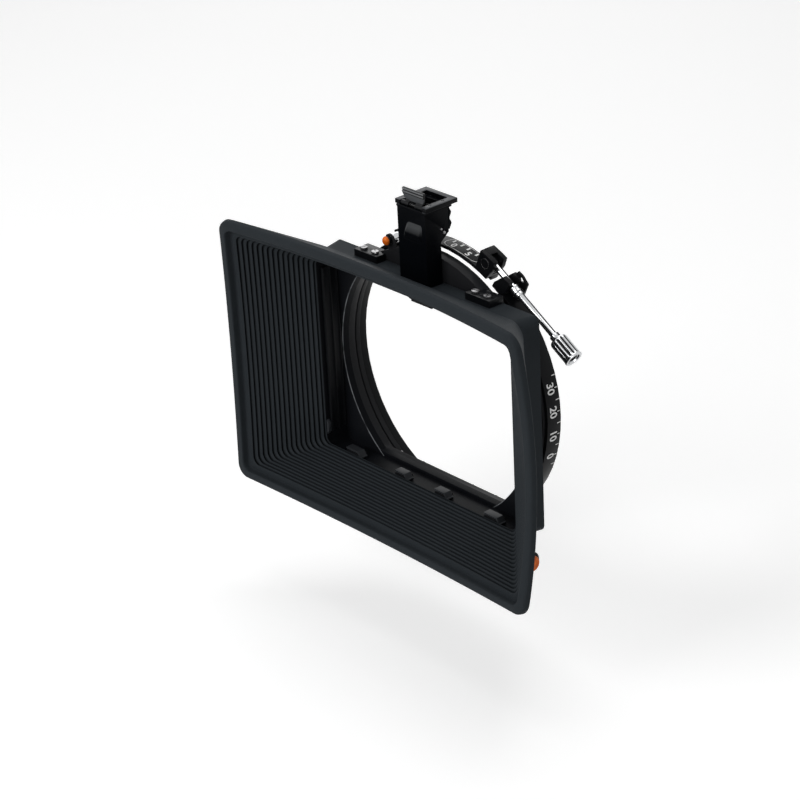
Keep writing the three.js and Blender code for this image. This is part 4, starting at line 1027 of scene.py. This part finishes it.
def knurl(a, t, r):
    """Straight knurling on the barrel's wide part, 0.12 mm deep: 0.06 mm times 1 plus the
    cosine of the angle times the number of knurls."""
    on = (r > 2.55) & (t > -14.7) & (t < -10.3)
    return np.where(on, -0.06 * (1 + np.cos(KNURLS * a)), 0.0)


made = turned("lock_barrel_turned", LOCK_AT, ALONG_Y, barrel, 180, knurl)
place(made, "stage", "chrome", "lock_barrel")
collar = tube_profile(1.0, 2.2, -18.4, -16.8, 0.2)
made = turned("lock_collar_turned", LOCK_AT, ALONG_Y, collar)
place(made, "lock_plunger", "rail_plastic", "lock_collar")
dome = [(0, -20.35), (0.9, -20.28), (1.5, -20.05), (1.95, -19.7), (2.25, -19.3), (2.42, -18.9)]
dome += [(2.45, -18.6), (2.35, -18.46), (1.0, -18.45), (1.0, -19.7), (0, -19.7)]
made = turned("lock_knob_turned", LOCK_AT, ALONG_Y, dome, angle=50)
place(made, "lock_plunger", "orange", "lock_knob")


def spring(node):
    """A spring as a copy with its own mesh."""
    made = place(copy_of(node), "stage", "steel", node)
    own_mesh(made)


low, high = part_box("lock_spring")
spring("lock_spring")

# Tray button

cap = [(0, 94.2), (2.6, 94.2), (2.6, 91.3), (4.7, 91.3), (4.7, 92.1), (4.1, 92.1)]
cap += [(4.1, 94.9), (3.75, 95.45), (3.2, 95.6), (2.4, 95.52), (0, 95.4)]
made = turned("tray_button_cap", BUTTON_AT, ALONG_X, rounded(cap, 0.12), BUTTON_SIDES)
place(made, "tray_button", "orange", "tray_button")
bezel = tube_profile(4.4, 5.8, 92.45, 93.25, 0.25)
made = turned("button_collar_turned", BUTTON_AT, ALONG_X, bezel, BUTTON_SIDES)
place(made, "stage", "rail_plastic", "button_collar")

low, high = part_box("button_spring")
spring("button_spring")

# Swing screw

barrel = rounded(rod_profile(2.9, -4.75, 4.45), 0.3)
trunnion = turned("clamp_trunnion_turned", PIVOT, ALONG_Y, barrel)
bore = turned("tool", PIVOT, ALONG_SCREW, rod_profile(2.1, -8, 8), 48)
place(cut(trunnion, [bore]), "clamp_trunnion", "ring_metal", "clamp_trunnion")
# Painted highlight: a thin bright steel ring on the trunnion's front edge.
highlight_ring = tube_profile(2.5, 2.82, -4.85, -4.7, 0.04)
made = turned("clamp_trunnion_highlight_ring", PIVOT, ALONG_Y, highlight_ring)
place(made, "clamp_trunnion", "steel", "clamp_trunnion")
waist = [(2.1, 18.6), (2.9, 18.6), (2.9, 19.4), (2.65, 19.6)]
waist += [(2.65, 21.3), (2.9, 21.5), (2.9, 22.4), (2.1, 22.4)]
thrust = rounded(waist, 0.15, closed=True)
made = turned("thrust_collar_turned", PIVOT, ALONG_SCREW, thrust, 72)
place(made, "thrust_collar", "chrome", "thrust_collar")
rod_r, shoulder_r, tail, end = 1.8, 2.6, -3.4, 58.6
rod = [(0, tail), (rod_r, tail)]
for low, high in ((22.7, 24.5), (51.2, 53.6)):
    rod += [(rod_r, low), (shoulder_r, low), (shoulder_r, high), (rod_r, high)]
rod += [(rod_r, end), (0, end)]
made = turned("clamp_screw_turned", PIVOT, ALONG_SCREW, rounded(rod, 0.25))
place(made, "clamp_screw", "chrome", "clamp_screw")


def flutes(a, t, r):
    """Flutes along the grip, 0.6 mm deep: half of that times 1 minus the cosine of the angle
    times their number, faded out at the rounded ends."""
    fade = np.clip((t - 55.0) / 0.8, 0, 1) * np.clip((66.3 - t) / 0.4, 0, 1)
    return np.where(r > 4.2, -0.60 * 0.5 * (1 - np.cos(GRIP_FLUTES * a)) * fade, 0.0)


def grip():
    """The fluted grip with a round mouth and a hexagon socket in its end."""
    grip_r, neck_r, floor = 4.75, 2.1, 66.6
    root = [(0, 58.9), (neck_r, 58.9), (neck_r, 53.9), (3.5, 53.9)]
    root += [(3.9, 54.0), (4.3, 54.3), (4.55, 54.8)]
    side_wall = [(grip_r, t) for t in np.linspace(55.4, 66.2, 12)]
    lip = [(4.85, 66.4), (4.9, 66.7), (4.9, 67.2), (grip_r, 67.45), (4.5, 67.5)]
    mouth = [(3.7, 67.5), (3.4, 67.3), (3.1, floor), (0, floor)]
    profile = root + side_wall + lip + mouth
    made = turned("clamp_grip_fluted", PIVOT, ALONG_SCREW, profile, 144, flutes)
    hexagon = turned("tool", PIVOT, ALONG_SCREW, rod_profile(2.7, 62.3, 70), 6)
    return cut(made, [hexagon])


place(grip(), "clamp_screw", "chrome", "clamp_grip")

# The other solids keep their meshes and get the looks of their slots

slots = {row["node"]: row["material_slot"] for row in frame["record"]["subparts"]}
for name, made in frame["nodes"].items():
    made.data.materials.clear()
    made.data.materials.append(LOOKS["ring_metal" if name == "latch_spring" else slots[name]])

# Floor, light and camera: the floor is low enough for the hood when the stage is turned

FLOOR_Z, FLOOR_HALF = -136.0, 6000
LAMP_SIZE = 900
WORLD_LEVEL = 0.14


def pale(name, level, lift):
    """A pale matt surface that the camera sees lifted towards white, in a mirror too."""
    f = Finish(name, (level, level, level), 0.9, Emission_Color=(1, 1, 1, 1))
    f.set("Emission Strength", f.seen() * lift)
    return f.material


corners = ((-1, -1), (1, -1), (1, 1), (-1, 1))
square = [(x * FLOOR_HALF, y * FLOOR_HALF, FLOOR_Z) for x, y in corners]
ground = mesh_object("floor", square, [(0, 1, 2, 3)])
ground.data.materials.append(pale("floor", 0.82, 0.42))

world = bpy.data.worlds.new("world")
bpy.context.scene.world = world
world.use_nodes = True
sky = Nodes(world.node_tree)
background = sky.tree.nodes["Background"]
strength = sky.node("ShaderNodeMapRange", Value=sky.seen(), To_Min=WORLD_LEVEL, To_Max=1.0)
sky.feed(background.inputs["Strength"], strength.outputs["Result"])
sky.feed(background.inputs["Color"], (1, 1, 1, 1))


def lamp(name, at, aim, power):
    """A soft square lamp; places in millimetres, power in watts."""
    data = bpy.data.lights.new(name, "AREA")
    data.shape, data.size, data.energy = "SQUARE", LAMP_SIZE * MM, power
    made = bpy.data.objects.new(name, data)
    bpy.context.scene.collection.objects.link(made)
    back = (arr(at) - arr(aim)) / np.linalg.norm(arr(at) - arr(aim))
    side = np.cross((0, 0, 1), back)
    side /= np.linalg.norm(side)
    up = np.cross(back, side)
    rows = [[*row, p * MM] for row, p in zip(np.stack([side, up, back], 1), at)]
    made.matrix_world = Matrix(rows + [[0, 0, 0, 1]])


lamp("key", (-300, -1500, 900), (0, -30, 0), 15)
lamp("fill", (1300, -900, 500), (0, 0, 0), 5)
lamp("top", (-150, 150, 1500), (0, -20, 0), 8)
lamp("back", (-1150, 1000, 850), (0, 0, 40), 3.5)

# The camera of the photo: lens and shift, its three directions, and its place in metres
camera = bpy.data.cameras.new("camera")
camera.lens, camera.sensor_width = 115.715, 36
camera.shift_x, camera.shift_y = 0.0342, -0.0068
camera.clip_start, camera.clip_end = 0.05, 50
eye = bpy.data.objects.new("camera", camera)
bpy.context.scene.collection.objects.link(eye)
right = (0.6586722, 0.7506551, -0.0516510)
up = (-0.2969612, 0.3224177, 0.8988108)
back = (0.6913501, -0.5766834, 0.4352830)
at = (0.901228, -0.810185, 0.575451)
eye.matrix_world = Matrix([[right[i], up[i], back[i], at[i]] for i in range(3)] + [[0, 0, 0, 1]])
bpy.context.scene.camera = eye
bpy.context.scene.view_settings.view_transform = "Standard"
